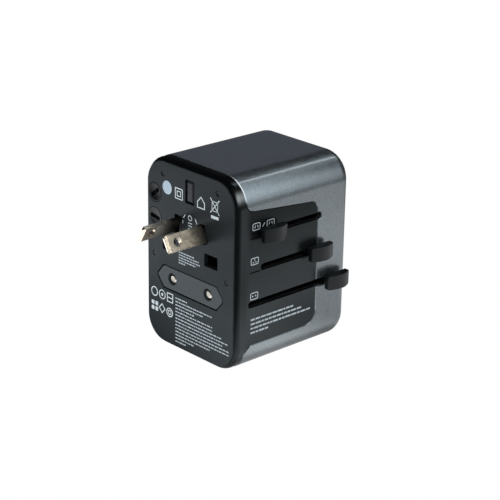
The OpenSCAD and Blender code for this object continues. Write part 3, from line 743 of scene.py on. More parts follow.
PORT_HOLE = [(STARTS[6] + CENTRE_X - x, y)
             for x, y in round_rect(27.0, 39.4, 2.5, 0, PORTS_Y, 8)]
wrap("sleeve_shell", [sleeve_outline(), PORT_HOLE], 1.2, 0.0, 0.26, "gunmetal_lacquer",
     "sleeve", [DEPTH - SOCKET_RIM + SOCKET_RIM * math.pi / 2 * i / 14 for i in range(15)],
     bevel_steps=0, limit=38, replaces="sleeve")
wrap("housing_shell", [housing_outline()], 1.25, HOUSING_INSET, 0.1, "housing_abs",
     "black_plastic", [PLUG_RIM * (1 - i * 1.02 / 10) for i in range(11)], replaces="housing")
LINER_BAND = [(BAND_START, 2.6), (BAND_END, 2.6), (BAND_END, 49.9), (BAND_START, 49.9)]
wrap("housing_liner",
     [LINER_BAND, PORT_HOLE] + [liner_slot(z, start, end) for z, start, end, _ in SLOTS],
     1.3, 1.27, 0.05, "inner_abs", "black_plastic", bevel_steps=1)

# ------------------------------------------------------------ plug face plate and its screws
holes = [round_rect(4.7, 8.5, 0.4, 0, EARTH_Z, 4)]
holes += [round_rect(6.8, 4.6, 0.4, side * RECT_X, RECT_Z, 4) for side in (-1, 1)]
holes += bow_pair(FLAT_X, FLAT_Z, 3.6, 2.3) + [nose_hexagon(0.40)]
holes += [circle(FUSE_X, z, 3.66, 64) for z in (FUSE_Z, SPARE_FUSE_Z)]
holes += [circle(x, z, 0.95, 24) for x, z in SCREWS]
face_outline = round_rect(WIDTH - 2.7, HEIGHT - 2.7, CORNER - 1.35, steps=20)
plate("plug_face", [face_outline] + holes, 1.85, 0.14, (0, 0, 0), PLUG_AXES, "housing",
      "charcoal_abs", "face_plastic", replaces="plug_face_plate")

SCREW_PROFILE = [(0, 0.42), (0.25, 0.42), (0.32, 0.2), (0.72, 0.17), (0.84, 0.27),
                 (0.88, 0.6), (0.7, 0.62), (0.7, 7.9), (0, 8)]
for i, (x, z) in enumerate(SCREWS):
    lathe(f"cover_screw_{i + 1}", SCREW_PROFILE, (x, 0, z), "housing", "black_zinc",
          "screw_steel", segments=28, replaces="cover_screws")

# ------------------------------------------------------------ fuse caps
CAP_STUB = [(0, 0.72), (3.5, 0.72), (3.58, 0.8), (3.58, 1.65), (3.5, 1.72), (2.6, 1.72),
            (2.6, 4.35), (2.45, 4.5), (0, 4.5)]


def hollow(bm):
    """Presses a shallow round hollow into a cap's front."""
    radius, deep = 2.95, 0.36
    for i in range(-10, 11):
        for normal in ((1, 0, 0), (0, 1, 0)):
            slice_mesh(bm, (i * 0.28, i * 0.28, 0), normal)
    for vert in bm.verts:
        distance = math.hypot(vert.co.x, vert.co.y)
        if vert.co.z > 0.1 and distance < radius:
            vert.co.z -= deep * (1 - (distance / radius) ** 2)


def fuse_cap(name, z, turn, body, material):
    """A disc with a coin slot turned by some degrees, on a stub."""
    cos, sin = math.cos(math.radians(turn)), math.sin(math.radians(turn))
    origin = (FUSE_X, 0.02, z)
    disc = plate(name, [circle(0, 0, 3.6, 72), round_rect(5.0, 1.35, 0.5, 0, 0, 6)],
                 0.8, 0.12, origin, (X * cos + Z * sin, -X * sin + Z * cos), body, material,
                 "face_plastic", edit=hollow, replaces=body)
    smooth_by_angle(disc, 30)
    # the stub's near-black front is painted shade for the floor of the coin slot
    lathe(name + "_stub", CAP_STUB, origin, body, "recess_black", "face_plastic")


fuse_cap("fuse_cap_disc", FUSE_Z, 39, "fuse_cap", "fuse_cap_abs")
fuse_cap("spare_cap_disc", SPARE_FUSE_Z, -9, "spare_fuse_cap", "spare_cap_abs")

# ------------------------------------------------------------ flat blades
BLADE_LENGTH, BLADE_TAIL, BLADE_HALF, BLADE_THICK = 16.5, 7.6, 3.15, 1.6
BLADE_TILT, TIP_TAPER = 30, 1.1


def taper_tip(bm):
    start = BLADE_LENGTH - TIP_TAPER
    for x in (start - 0.05, start):
        slice_mesh(bm, (x, 0, 0), (1, 0, 0))
    for vert in bm.verts:
        share = (vert.co.x - start) / TIP_TAPER
        if share > 0:
            vert.co.z *= 1 - 0.62 * share


def blade(name, side, material):
    """A leaning blade that sticks out along -Y, with a round hole near its tip."""
    tilt = math.radians(BLADE_TILT)
    up = (Z * math.cos(tilt) - X * side * math.sin(tilt)).normalized()
    outline = rounded([(BLADE_LENGTH, BLADE_HALF), (-BLADE_TAIL, BLADE_HALF),
                       (-BLADE_TAIL, -BLADE_HALF), (BLADE_LENGTH, -BLADE_HALF)],
                      [0.95, 0.1, 0.1, 0.95], 8)
    top = Vector((side * FLAT_X, 0, FLAT_Z)) + (-Y).cross(up) * (BLADE_THICK / 2)
    ob = plate(f"{name}_blade_metal", [outline, circle(BLADE_LENGTH - 4.7, 0, 1.55, 40)],
               BLADE_THICK, 0.13, top, (-Y, up), f"{name}_flat_blade", material, "nickel",
               edit=taper_tip, replaces=f"{name}_blade")
    smooth_by_angle(ob, 18)


blade("left", -1, "nickel_blade_worn")
blade("right", 1, "nickel_blade")

# ------------------------------------------------------------ nose and round pins
for name, grow, thick, bevel, y, steps, node_name in (
        ("nose_block", 0, 19.4, 0.22, 0.05, 3, "eu_nose"),
        ("nose_flange", 0.9, 1.7, 0.12, 19.3, 1, None)):
    bores = [circle(side * ROUND_X, ROUND_Z, 2.2) for side in (-1, 1)]
    plate(name, [nose_hexagon(grow)] + bores, thick, bevel, (0, y, 0), PLUG_AXES,
          "round_pin_nose", "nose_abs", "nose_plastic", bevel_steps=steps, replaces=node_name)

# the pin: a rounded tip, a waist that holds the plastic sleeve, then a plain shank
PIN_PROFILE = ([(0, 0.5)] + [(0.8 + 1.2 * math.sin(math.radians(i * 9)),
                              1.7 - 1.2 * math.cos(math.radians(i * 9))) for i in range(11)]
               + [(2, 9.4), (1.95, 9.5), (1.5, 9.5), (1.5, 21), (2, 21), (2, 44), (0, 44)])
PIN_SLEEVE_PROFILE = [(1.5, 9.5), (1.82, 9.5), (1.9, 9.6), (1.9, 20.9), (1.85, 21),
                      (1.5, 21), (1.5, 9.5)]
for side, name in ((-1, "left"), (1, "right")):
    foot = (side * ROUND_X, 0, ROUND_Z)
    lathe(f"round_pin_{name}", PIN_PROFILE, foot, "round_pin_set", "nickel_pin", "nickel",
          segments=48, replaces="eu_pins")
    lathe(f"round_pin_sleeve_{name}", PIN_SLEEVE_PROFILE, foot, "round_pin_set", "pin_nylon",
          "pin_plastic", segments=48, replaces="eu_pin_sleeves")

# ------------------------------------------------------------ slider knobs
KNOB_LENGTH, KNOB_HEIGHT = 10.8, 5.6
# heights above the body's side: underneath, crown, ends near the plug and the socket
KNOB_BACK, KNOB_CROWN, KNOB_PLUG_END, KNOB_SOCKET_END = 1.5, 4.84, 3.4, 3.15
CROWN_AT = 0.56             # the crown's place along the knob, as a share of its length
KNOB_SHIFT = 1.2            # the finger plate sits this far from the stem, along +Y


def round_off(distance, radius):
    """How far a rounded edge has dropped at a distance from the end."""
    if distance >= radius:
        return 0.0
    return radius - math.sqrt(max(0, radius ** 2 - (radius - distance) ** 2))


def crown(share):
    """Height of the finger plate's outer face along its length."""
    if share <= CROWN_AT:
        rise = math.sin(min(1, share / CROWN_AT) * math.pi / 2)
        return KNOB_PLUG_END + (KNOB_CROWN - KNOB_PLUG_END) * rise
    fall = 1 - math.cos((share - CROWN_AT) / (1 - CROWN_AT) * math.pi / 2)
    return KNOB_CROWN - (KNOB_CROWN - KNOB_SOCKET_END) * fall


def knob(name, stem_y, z, body, replaces):
    """A finger plate crowned along its slot, on a neck and a stem."""
    steps = 46
    rings = []
    for j in range(steps + 1):
        share = 0.5 - 0.5 * math.cos(math.pi * j / steps)   # close rings at both ends
        along = -KNOB_LENGTH / 2 + KNOB_LENGTH * share
        to_end = min(along + KNOB_LENGTH / 2, KNOB_LENGTH / 2 - along)
        shrink = round_off(to_end, 0.3)
        top, bottom = crown((along + KNOB_LENGTH / 2) / KNOB_LENGTH) - shrink, KNOB_BACK + shrink
        half_z = KNOB_HEIGHT / 2 - round_off(to_end, 0.85) - shrink * 0.9
        edge = min(0.32, (top - bottom) / 2.05, half_z / 1.05)
        outer_x, outer_z = (top - bottom) / 2 - edge, half_z - edge
        middle_x, y = WIDTH / 2 + (top + bottom) / 2, stem_y + KNOB_SHIFT + along
        points = []
        for quarter, (sx, sz) in enumerate(((1, 1), (-1, 1), (-1, -1), (1, -1))):
            points += arc(middle_x + sx * outer_x, z + sz * outer_z, edge,
                          90 * quarter, 90 * quarter + 90, 6)
        rings.append([(px, y, pz) for px, pz in points])
    ob = piece(name, *loft(rings), body, "knob_abs", "knob_plastic", replaces)
    face_outward(ob, 50, weld=1e-6)
    plate(name + "_neck", [round_rect(6.4, 3.6, 0.8, stem_y + KNOB_SHIFT - 0.9, z, 5)],
          1.44, 0.12, (WIDTH / 2 + KNOB_BACK + 0.1, 0, 0), SLIDER_AXES, body, "knob_abs",
          "knob_plastic", bevel_steps=1)
    stem_top = WIDTH / 2 + 0.3
    plate(name + "_stem", [round_rect(4.6, 2.0, 0.25, stem_y, z, 3)], stem_top - 20.4, 0.08,
          (stem_top, 0, 0), SLIDER_AXES, body, "knob_abs", "knob_plastic", bevel_steps=1)


knob("knob_flat_pins", FLAT_KNOB_Y, FLAT_SLOT_Z, "flat_pin_set", "us_knob")
knob("knob_rectangular_pins", RECT_KNOB_Y, RECT_SLOT_Z, "rectangular_pin_set", "uk_knob")
knob("knob_round_pins", ROUND_KNOB_Y, ROUND_SLOT_Z, "round_pin_set", "eu_knob")


# ------------------------------------------------------------ the shutter's spring
def shutter_spring():
    """A flat zigzag of round wire, built at one length; the real spring shortens as the shutter
    drops.
    """
    turns, wire, sides, y = 12, 0.24, 12, 50.8
    low, high = -31.0 + 0.25, -5.9 - 0.25
    path = []
    for i in range(turns + 1):
        bend_z = low + (high - low) * i / turns
        side = 1 if i % 2 else -1
        for degrees in range(-80, 81, 20):
            angle = math.radians(degrees)
            z = min(max(bend_z + 0.45 * math.sin(angle), low), high)
            path.append(Vector((side * (2.15 + 0.55 * math.cos(angle)), y, z)))
    rings = []
    for i, point in enumerate(path):
        way = (path[min(i + 1, len(path) - 1)] - path[max(i - 1, 0)]).normalized()
        across = way.cross(Y).normalized()
        angles = [2 * math.pi * k / sides for k in range(sides)]
        rings.append([point + across * (wire * math.cos(a)) + Y * (wire * math.sin(a))
                      for a in angles])
    ob = piece("shutter_spring_wire", *loft(rings), "shutter", "tinned_steel", "steel",
               "shutter_spring")
    face_outward(ob, 60)
    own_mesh(ob)


shutter_spring()

# ------------------------------------------------------------ socket end
# an upright wall beside the contacts, so the slider slots do not look out through the socket
plate("contact_barrier", [round_rect(12.1, 8.4, 0.8, 44.55, 15.0, 4)], 0.4, 0.08,
      (12.7, 0, 0), SLIDER_AXES, "housing", "black_abs", "inner_plastic", bevel_steps=1)

led_hole = circle(10, -24, 1.06, 28)
socket_holes = [round_rect(4.8, 9, 0.5, 0, 25.62, 5)]
for side in (-1, 1):
    socket_holes += [round_rect(7.2, 4.8, 0.5, side * RECT_X, 3.4, 5),
                     circle(side * ROUND_X, -3, 2.6, 40)]
socket_holes += bow_pair(FLAT_X - 0.2, 12, 3.9, 2.6) + [led_hole]
# name, outline (less than width, less than height, radius), holes, thickness, bevel,
# depth below the socket end, material, bevel steps, replaced piece
SOCKET_LAYERS = [
    ("socket_face", (10.2, 10.1, 5.4), [round_rect(34, 42, 4, 0, 7.6), led_hole],
     0.42, 0.12, 0.2, "black_abs", 2, "socket_plate"),
    ("socket_dish", (10.3, 10.2, 5.3), socket_holes, 1.0, 0.12, 0.6, "charcoal_abs", 2, None),
    ("socket_back", (8.5, 8.6, 5.9), socket_holes, 1.8, 0.08, 1.4, "inner_abs", 1, None),
]
for (name, (less_x, less_z, radius), holes, thick, bevel, sunk, material, steps,
     node_name) in SOCKET_LAYERS:
    outline = round_rect(WIDTH - less_x, HEIGHT - less_z, radius, steps=14)
    plate(name, [mirror_x(loop) for loop in [outline] + holes], thick, bevel,
          (0, DEPTH - sunk, 0), SOCKET_AXES, "housing", material, "black_plastic",
          bevel_steps=steps, replaces=node_name)

# ------------------------------------------------------------ port panel, underneath
port_loops = [round_rect(26.8, 39.2, 2.4, 0, PORTS_Y)]
port_loops += [round_rect(13.3, 5.9, 0.5, 0, y, 4) for y in USB_A_Y]
port_loops += [round_rect(9.14, 3.4, 1.6, 0, y, 8) for y in USB_C_Y]
plate("port_panel_face", [mirror_y(loop) for loop in port_loops], 1.8, 0.14,
      (0, 0, -HEIGHT / 2 + 0.1), UNDER_AXES, "housing", "black_abs", "black_plastic",
      replaces="port_panel")


# ------------------------------------------------------------ prints
def decal(name, marks, origin, axes, material="pad_print", slot="black_plastic", thick=0.03):
    """Flat marks lying on a face; each is a loop, or a ring given as (outer, inner)."""
    across, up = axes
    out = across.cross(up)
    top = Vector(origin) + out * thick
    verts, faces = [], []
    for mark in marks:
        loops = mark if isinstance(mark, tuple) else (mark,)
        n, base = len(loops[0]), len(verts)
        for z in (0, -1.5 * thick):
            for loop in loops:
                verts += [top + across * x + up * y + out * z for x, y in loop]
        ring_mark = len(loops) == 2
        if not ring_mark:
            faces.append(tuple(range(base, base + n)))
            faces.append(tuple(range(base + n, base + 2 * n))[::-1])
        for i in range(base, base + n):
            j = base + (i - base + 1) % n
            if ring_mark:
                faces += [(i, j, n + j, n + i), (2 * n + j, 2 * n + i, 3 * n + i, 3 * n + j),
                          (j, i, 2 * n + i, 2 * n + j), (n + i, n + j, 3 * n + j, 3 * n + i)]
            else:
                faces.append((j, i, n + i, n + j))
    ob = piece(name, verts, faces, "housing", material, slot)
    for polygon in ob.data.polygons:
        polygon.use_smooth = False


def bar(x0, y0, x1, y1, width):
    way = Vector((x1 - x0, y1 - y0))
    side = Vector((-way.y, way.x)).normalized() * width / 2
    return [(x0 - side.x, y0 - side.y), (x1 - side.x, y1 - side.y),
            (x1 + side.x, y1 + side.y), (x0 + side.x, y0 + side.y)]


def ring(cx, cy, radius, width, steps):
    return circle(cx, cy, radius, steps), circle(cx, cy, radius - width, steps)


def box_ring(cx, cy, outer, inner, steps=2):
    """A rectangular ring; outer and inner are (width, height, corner radius)."""
    return round_rect(*outer, cx, cy, steps), round_rect(*inner, cx, cy, steps)


def print_lines(rng, left, top, pitch, ends, height, gap, shortest, longest):
    """Lines of short dashes standing where small print would be; ends holds each line's end."""
    out = []
    for i, end in enumerate(ends):
        x, z = left, top - i * pitch
        low, high = z - height / 2, z + height / 2
        while x < end - 0.3:
            width = min(rng.uniform(shortest, longest), end - x)
            if width > 0.25:
                out.append([(x, low), (x + width, low), (x + width, high), (x, high)])
            x += width + gap
    return out


def face_decal(name, marks, material="pad_print"):
    decal(name, marks, (0, 0, 0), PLUG_AXES, material, "face_plastic")


def panel_decal(name, marks, **options):
    decal(name, marks, (WIDTH / 2 - HOUSING_INSET, 0, 0), SLIDER_AXES, **options)


face_decal("face_disc", [circle(-12.0, 24.9, 2.45, 40)], "pad_print_disc")

# near the top: nested squares, a gabled outline and a crossed box over a bar
GABLE = ([(3.9, 21.9), (7.9, 21.9), (7.9, 24.2), (5.9, 26.3), (3.9, 24.2)],
         [(4.26, 22.26), (7.54, 22.26), (7.54, 24.05), (5.9, 25.78), (4.26, 24.05)])
marks = [box_ring(-5.75, 24.2, (4.1, 4.1, 0.15), (3.4, 3.4, 0.1)),
         box_ring(-5.75, 24.2, (2.1, 2.1, 0.1), (1.45, 1.45, 0.05)), GABLE,
         box_ring(13.0, 24.5, (3.1, 3.6, 0.3), (2.6, 3.1, 0.2)),
         bar(10.7, 21.9, 15.3, 27.2, 0.34), bar(15.3, 21.9, 10.7, 27.2, 0.34),
         bar(11.1, 20.6, 14.9, 20.6, 1.05)]
# between the blades: a ring, slanted and upright dashes and a ladder of short bars
marks += [ring(0.2, 16.9, 1.05, 0.3, 28), bar(-3.3, 16.2, -2.3, 17.5, 0.32),
          bar(-3.6, 15.2, -3.6, 14.0, 0.32), bar(2.9, 17.3, 3.8, 15.7, 0.32)]
marks += [bar(-0.8, z, 1.2, z, 0.32) for z in (15.0, 14.0, 13.0, 12.0, 11.0)]
face_decal("face_marks", marks)

# at the lower left: rings, a crossed box, four small squares and a diamond
DIAMOND = ([(-16.9, -21.6), (-15.0, -23.6), (-13.1, -21.6), (-15.0, -19.6)],
           [(-16.3, -21.6), (-15.0, -23.0), (-13.7, -21.6), (-15.0, -20.2)])
blocks = [ring(-19.2, -16.2, 1.85, 0.42, 36), ring(-14.9, -16.2, 1.85, 0.42, 36),
          circle(-14.9, -16.2, 0.6, 20),
          box_ring(-10.6, -16.2, (3.4, 3.6, 0.2), (2.6, 2.8, 0.1)),
          bar(-11.9, -16.2, -9.3, -16.2, 0.4)]
blocks += [round_rect(1.5, 1.5, 0.15, -20.1 + i * 2.1, -20.6 - k * 2.1, 2)
           for i in range(2) for k in range(2)]
blocks += [DIAMOND, ring(-10.8, -21.9, 1.8, 0.42, 36), ring(-10.8, -21.9, 0.95, 0.36, 24)]
face_decal("face_blocks", blocks)

rng = random.Random(11)
lines = print_lines(rng, left=-5.8, top=2.8, pitch=1.0, ends=(2.4, 4.9, 5.6, 3.2, -2.4),
                    height=0.42, gap=0.28, shortest=0.6, longest=1.5)
lines += print_lines(rng, left=-7.6, top=-15.2, pitch=1.28,
                     ends=(-1.3, 11.8, 7.5, 2.8, 12.1, 12.1, 16.8, 20.1, 17.5, 20.8, 20.8,
                           10.8, 2.8, -1.4),
                     height=0.44, gap=0.3, shortest=0.5, longest=1.9)
face_decal("face_small_print", lines, "pad_print_fine")


def plug_icon(y, z, kind):
    """A small outline of a plug face with its pins."""
    out = [box_ring(y, z, (3.6, 2.6, 0.6), (3.1, 2.1, 0.4), steps=4)]
    if kind == "flat":
        out += [bar(y - 0.75, z - 0.45, y - 0.45, z + 0.5, 0.26),
                bar(y + 0.75, z - 0.45, y + 0.45, z + 0.5, 0.26)]
    elif kind == "rect":
        out += [bar(y - 0.9, z - 0.4, y - 0.35, z - 0.4, 0.3),
                bar(y + 0.35, z - 0.4, y + 0.9, z - 0.4, 0.3),
                bar(y, z + 0.2, y, z + 0.75, 0.3)]
    else:
        out += [circle(y - 0.7, z, 0.26, 16), circle(y + 0.7, z, 0.26, 16)]
    return out


panel_decal("panel_marks", plug_icon(9.1, 18.35, "flat") + [bar(12.0, 17.6, 12.9, 19.0, 0.26)]
            + plug_icon(15.7, 18.2, "flat") + plug_icon(8.6, 5.95, "rect")
            + plug_icon(8.6, -6.85, "round"))
panel_decal("panel_small_print",
            print_lines(random.Random(5), left=7.2, top=-15.6, pitch=1.62,
                        ends=(27.5, 31.5, 36.2, 15.5), height=0.62, gap=0.35,
                        shortest=0.9, longest=2.6),
            material="pad_print_fine")
# painted shade: dark lines that stand for the shade in grooves at the near ends of two slots
panel_decal("panel_groove_shade", [bar(6.4, FLAT_SLOT_Z - 1.15, 11.6, FLAT_SLOT_Z - 1.15, 0.55),
                              bar(6.4, RECT_SLOT_Z - 1.0, 11.3, RECT_SLOT_Z - 1.0, 0.5)],
            material="recess_black", thick=0.012)

# ------------------------------------------------------------ CAD pieces that stay
# name: (material, width of the rounded edges in mm)
KEPT = {
    "mid_frame": ("inner_abs", 0.15), "fuse_holders": ("inner_abs", 0.12),
    "fuse": ("ceramic", 0), "spare_fuse": ("ceramic", 0),
    "fuse_end_contacts": ("brass_strip", 0.05), "live_contact": ("brass_strip", 0.06),
    "neutral_contact": ("brass_strip", 0.06), "live_busbar": ("brass_strip", 0.08),
    "neutral_busbar": ("brass_strip", 0.08), "mains_wires": ("wire_insulation", 0.1),
    "charger_pcb": ("solder_mask", 0.08), "transformer": ("yellow_tape", 0.25),
    "capacitors": ("capacitor_sleeve", 0.25), "inductor": ("copper_winding", 0.3),
    "chips": ("chip_epoxy", 0.12), "usb_a_shells": ("tinned_steel", 0.06),
    "usb_a_tongues": ("white_nylon", 0.12), "usb_c_shells": ("tinned_steel", 0.05),
    "usb_c_tongues": ("chip_epoxy", 0.08), "pcb_screws": ("tinned_steel", 0.15),
    "status_led": ("clear_acrylic", 0.12), "light_pipe": ("clear_acrylic", 0.08),
    "us_carriage": ("inner_abs", 0.2), "blade_retainer": ("inner_abs", 0.12),
    "left_blade_hub": ("inner_abs", 0.15), "right_blade_hub": ("inner_abs", 0.15),
    "uk_carriage": ("inner_abs", 0.25), "uk_pins": ("nickel_plate", 0.1),
    "uk_pin_sleeves": ("pin_nylon", 0.06), "uk_earth_pin": ("pin_nylon", 0.2),
    "eu_carriage": ("inner_abs", 0.2), "safety_shutter": ("white_nylon", 0.2),
}


def dress(ob, material, edge):
    """Gives a CAD piece its material, rounded edges and clean shading."""
    ob.data.materials.clear()
    ob.data.materials.append(MATERIALS[material])
    for polygon in ob.data.polygons:
        polygon.material_index = 0
    weld = ob.modifiers.new("weld", "WELD")
    weld.merge_threshold = 2e-6
    if edge:
        planar = ob.modifiers.new("planar", "DECIMATE")
        planar.decimate_type = "DISSOLVE"
        planar.angle_limit = math.radians(0.6)
        bevel = ob.modifiers.new("bevel", "BEVEL")
        bevel.width = edge * MM
        bevel.segments = 2
        bevel.limit_method = "ANGLE"
        bevel.angle_limit = math.radians(40)
        bevel.use_clamp_overlap = True
        bevel.harden_normals = False
    shading = ob.modifiers.new("normals", "WEIGHTED_NORMAL")
    shading.keep_sharp = False
    shading.weight = 60


for name, (material, edge) in KEPT.items():
    dress(frame["nodes"][name], material, edge)

# ------------------------------------------------------------ floor
FLOOR_GLOW = 1.0                     # what the camera sees
FLOOR_GLOSSY = 0.12                  # what reflections see away from the patches
# bright patches of the paper as reflections see it: (x, y), inner and outer radius, level
PATCHES = [((-122, -70), 15, 115, 1.35), ((-6, -42), 5, 50, 1.15),
           ((118, 135), 45, 185, 0.66), ((102, 118), 5, 55, 0.22), ((40, 14), 8, 60, 1.02)]
SHADE_HALF_X, SHADE_HALF_Y = 0.022, 0.025   # the object's shade on the paper, in metres
SHADE_FADE, SHADE_LEVEL = 0.007, 0.35
COOL = (0.95, 0.98, 1.0)


def floor_paper(floor_z):
    """White paper with its own brightness for camera rays and for reflections."""
    tree, bsdf = new_material("floor_paper")
    feed(bsdf, {"Base Color": (0.9, 0.9, 0.9, 1), "Roughness": 0.9, "Specular IOR Level": 0.0})
    position = node(tree, "NewGeometry").outputs["Position"]
    level = FLOOR_GLOSSY
    for (x, y), inner, outer, brightness in PATCHES:
        distance = node(tree, "VectorMath", {0: position, 1: (x * MM, y * MM, floor_z)},
                        operation="DISTANCE").outputs["Value"]
        patch = to_range(tree, distance, brightness, 0, inner * MM, outer * MM, smooth=True)
        level = calc(tree, "ADD", patch, level)
    # the paper is in the object's own shade right under its rounded edges
    place = split_xyz(tree, position)

    def beyond(offset, half):
        """Distance outside a strip of the given half width, squared."""
        past = calc(tree, "SUBTRACT", calc(tree, "ABSOLUTE", offset, 0.0), half)
        past = calc(tree, "MAXIMUM", past, 0.0)
        return calc(tree, "MULTIPLY", past, past)

    beside = beyond(place[0], SHADE_HALF_X)
    along = beyond(calc(tree, "SUBTRACT", place[1], DEPTH / 2 * MM), SHADE_HALF_Y)
    distance = calc(tree, "SQRT", calc(tree, "ADD", beside, along), 0.0)
    shade = to_range(tree, distance, SHADE_LEVEL, 1.0, 0.0, SHADE_FADE, smooth=True)
    reflected = glow(tree, "Emission", COOL, calc(tree, "MULTIPLY", level, shade))
    seen = glow(tree, "Emission", (1, 1, 1), FLOOR_GLOW)
    surface = by_ray(tree, camera=seen, glossy=reflected, other=bsdf.outputs[0])
    feed(tree.nodes["Material Output"], {0: surface})


def floor():
    cells, half, z = 24, 1.6, -HEIGHT / 2 * MM - 0.00002
    row = cells + 1
    verts = [(-half + 2 * half * i / cells, -half + 2 * half * j / cells, z)
             for j in range(row) for i in range(row)]
    faces = [(j * row + i, j * row + i + 1, (j + 1) * row + i + 1, (j + 1) * row + i)
             for j in range(cells) for i in range(cells)]
    mesh = bpy.data.meshes.new("floor")
    mesh.from_pydata(verts, [], faces)
    ob = bpy.data.objects.new("floor", mesh)
    bpy.context.scene.collection.objects.link(ob)
    floor_paper(z)
    mesh.materials.append(MATERIALS["floor_paper"])


floor()

# ------------------------------------------------------------ world
AMBIENT_GLOSSY = 0.008
AMBIENT_DIFFUSE = 0.6
# soft sources seen in reflections: (azimuth, elevation), inner and outer half angle, level
SIDE_SKY = ((130, 4), 8, 33, 0.50)
TOP_SKY = ((228, 14), 8, 52, 0.012)
# a narrow upright strip of light: azimuth, elevation and half height in degrees, level,
# half width and soft edge in degrees
STRIP = (177.5, 48, 20, 3.1, 2.2, 1.1)


def sky_direction(azimuth, elevation):
    """Azimuth 0 is -Y and 90 is +X."""
    a, e = math.radians(azimuth), math.radians(elevation)
    return Vector((math.sin(a) * math.cos(e), -math.cos(a) * math.cos(e), math.sin(e)))


def facing(tree, direction):
    """Cosine between the ray and a direction."""
    ray = node(tree, "TexCoord").outputs["Generated"]
    return node(tree, "VectorMath", {0: ray, 1: direction},
                operation="DOT_PRODUCT").outputs["Value"]


def lobe(tree, place, inner, outer):
    """1 inside a cone round a place in the sky, falling smoothly to 0 at its outer angle."""
    return to_range(tree, facing(tree, sky_direction(*place).normalized()), 0, 1,
                    math.cos(math.radians(outer)), math.cos(math.radians(inner)), smooth=True)


def soft_source(tree, place, inner, outer, level):
    return calc(tree, "MULTIPLY", lobe(tree, place, inner, outer), level)


def sky_strip(tree, azimuth, elevation, half_height, level, half_width, soft):
    across = (math.cos(math.radians(azimuth)), math.sin(math.radians(azimuth)), 0)
    off = calc(tree, "ABSOLUTE", facing(tree, across))
    width = to_range(tree, off, 0, 1, math.radians(half_width + soft),
                     math.radians(half_width), smooth=True)
    height = lobe(tree, (azimuth, elevation), half_height * 0.6, half_height)
    return calc(tree, "MULTIPLY", calc(tree, "MULTIPLY", width, height), level)


def build_world():
    world = bpy.data.worlds.new("world")
    bpy.context.scene.world = world
    world.use_nodes = True
    tree = world.node_tree
    tree.nodes.clear()
    level = calc(tree, "ADD", soft_source(tree, *SIDE_SKY), sky_strip(tree, *STRIP))
    level = calc(tree, "ADD", level, AMBIENT_GLOSSY)
    sides = glow(tree, "Background", (0.90, 0.97, 1.0), level)
    top = glow(tree, "Background", (0.80, 0.88, 1.18), soft_source(tree, *TOP_SKY))
    surface = by_ray(tree, camera=glow(tree, "Background", (1, 1, 1), 1.0),
                     glossy=node(tree, "AddShader", {0: sides, 1: top}).outputs[0],
                     other=glow(tree, "Background", COOL, AMBIENT_DIFFUSE))
    node(tree, "OutputWorld", {0: surface})


build_world()

# ------------------------------------------------------------ lights
SHOULDER = (0.87, 0.97, 1.02)
PIN_FROM, PIN_AIM = (0.30, 0.03, 0.17), (0.006, -0.010, 0.012)
SLEEVE_ONLY = ("sleeve_shell",)
ROUND_PINS = ("round_pin_left", "round_pin_right")
# name, place, aim, (width, height), watts, colour; in metres
ROOM_LIGHTS = [
    ("key_right", (0.50, 0.02, 0.30), (0, 0.025, 0.0), (0.22, 0.30), 0.9, COOL),
    ("fill_front", (-0.30, -0.50, 0.10), (0, 0.0, 0.0), (0.30, 0.30), 1.6, COOL),
]
# the same, then the light group, the pieces it lights, and the share of the side that each
# edge's fade takes (left, right, low, high)
PIECE_LIGHTS = [
    ("shoulder_box", (0.0985, 0.0872, 0.0825), (0.022, 0.020, 0.028), (0.120, 0.215), 0.186,
     SHOULDER, "shoulder_a", SLEEVE_ONLY, (0.0, 0.75, 0.7, 0.10)),
    ("pin_light", PIN_FROM, PIN_AIM, (0.16, 0.16), 0.74, (1.0, 0.96, 0.88),
     "pins_only", ("right_blade_metal",) + ROUND_PINS, None),
    ("blade_glint", (0.006, -0.008, -0.024), (-0.0072, -0.0150, 0.012), (0.022, 0.022), 0.0030,
     (1.0, 0.95, 0.90), "left_blade_only", ("left_blade_metal",), None),
    ("left_blade_light", PIN_FROM, PIN_AIM, (0.16, 0.16), 0.06, (1.0, 0.93, 0.86),
     "left_blade_side", ("left_blade_metal",), None),
    ("hole_glint", (-0.062, -0.063, -0.017), (0.0, -0.012, 0.012), (0.045, 0.045), 0.020,
     (1.0, 0.96, 0.92), "blade_holes", ("left_blade_metal", "right_blade_metal"), None),
    ("round_pin_light", PIN_FROM, PIN_AIM, (0.16, 0.16), 0.75, (1.0, 0.94, 0.92),
     "round_pins_only", ROUND_PINS, None),
    ("top_card", (-0.125, 0.128, 0.088), (0.0, 0.027, 0.035), (0.11, 0.09), 0.0029,
     (0.84, 0.90, 1.12), "sleeve_only", SLEEVE_ONLY, None),
    ("collar_card", (0.122, 0.020, 0.082), (0.022, 0.0015, 0.0285), (0.270, 0.115), 1.00,
     (1.0, 0.97, 0.96), "collar_only", ("housing_shell",), (0.4, 0.4, 0.5, 0.5)),
    ("edge_card", (0.058, -0.090, 0.090), (0.021, 0.0045, 0.028), (0.150, 0.150), 0.280,
     COOL, "edge_only", SLEEVE_ONLY, None),
    ("shoulder_box_upper", (0.048, 0.102, 0.119), (0.020, 0.025, 0.031), (0.056, 0.056),
     0.0030, SHOULDER, "shoulder_b", SLEEVE_ONLY, (0.3, 0.3, 0.3, 0.3)),
]


def area_light(name, place, aim, size, watts, colour):
    data = bpy.data.lights.new(name, "AREA")
    data.shape = "RECTANGLE"
    data.size, data.size_y = size
    data.energy, data.color = watts, colour
    ob = bpy.data.objects.new(name, data)
    bpy.context.scene.collection.objects.link(ob)
    ob.location = place
    ob.rotation_euler = (Vector(aim) - Vector(place)).to_track_quat("-Z", "Y").to_euler()
    return ob


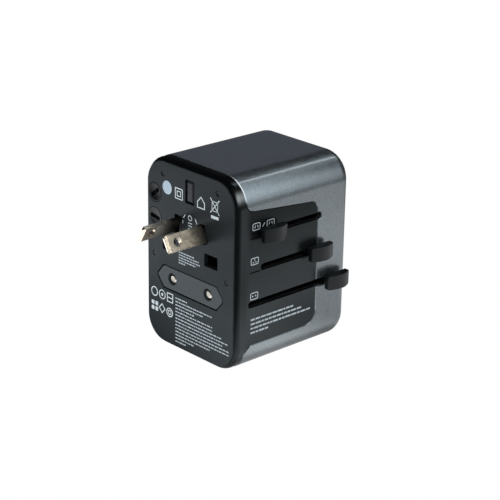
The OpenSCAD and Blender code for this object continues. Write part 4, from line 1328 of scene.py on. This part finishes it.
def fade_edges(light, fades):
    """Fades a rectangular light towards its edges."""
    light.data.use_nodes = True
    tree = light.data.node_tree
    place = split_xyz(tree, node(tree, "NewGeometry").outputs["Parametric"])
    strength = None
    for i, share in enumerate(fades):
        if share <= 0:
            continue
        edge = i % 2
        fade = to_range(tree, place[i // 2], 0, 1, edge, 1 - share if edge else share,
                        smooth=True)
        strength = fade if strength is None else calc(tree, "MULTIPLY", strength, fade)
    feed(tree.nodes["Emission"], {"Strength": strength})


def only_for(light, group_name, pieces):
    """Keeps a light to the reflections of some pieces, as a flag on a stand would."""
    group = bpy.data.collections.new(group_name)
    for ob in bpy.context.scene.objects:
        if ob.name in pieces:
            group.objects.link(ob)
    light.light_linking.receiver_collection = group
    light.visible_diffuse = False
    light.visible_camera = False


for row in ROOM_LIGHTS:
    area_light(*row).visible_glossy = False
for *base, group_name, pieces, fades in PIECE_LIGHTS:
    light = area_light(*base)
    if fades:
        fade_edges(light, fades)
    only_for(light, group_name, pieces)

# ------------------------------------------------------------ camera
AZIMUTH, ELEVATION, ROLL = 47.0, 20.94, 0.98      # degrees
LENS, SENSOR = 115.1136, 36                       # mm
TARGET = Vector((0, 0.025, 0))
# where the target sits in camera axes, in metres
TARGET_RIGHT, TARGET_DOWN, TARGET_AHEAD = -0.0026329447, -0.00097304478, 0.57195


def build_camera():
    back = sky_direction(AZIMUTH, ELEVATION)
    level_right = (-back).cross(Z).normalized()
    level_up = level_right.cross(-back)
    cos, sin = math.cos(math.radians(ROLL)), math.sin(math.radians(ROLL))
    right = level_right * cos + level_up * sin
    up = -level_right * sin + level_up * cos
    data = bpy.data.cameras.new("camera")
    data.lens = LENS
    data.sensor_width = SENSOR
    data.clip_start = 0.01
    ob = bpy.data.objects.new("camera", data)
    bpy.context.scene.collection.objects.link(ob)
    matrix = Matrix((right, up, back)).transposed().to_4x4()
    matrix.translation = (TARGET - right * TARGET_RIGHT + up * TARGET_DOWN
                          + back * TARGET_AHEAD)
    ob.matrix_world = matrix
    bpy.context.scene.camera = ob


build_camera()
bpy.context.scene.view_settings.view_transform = "Standard"
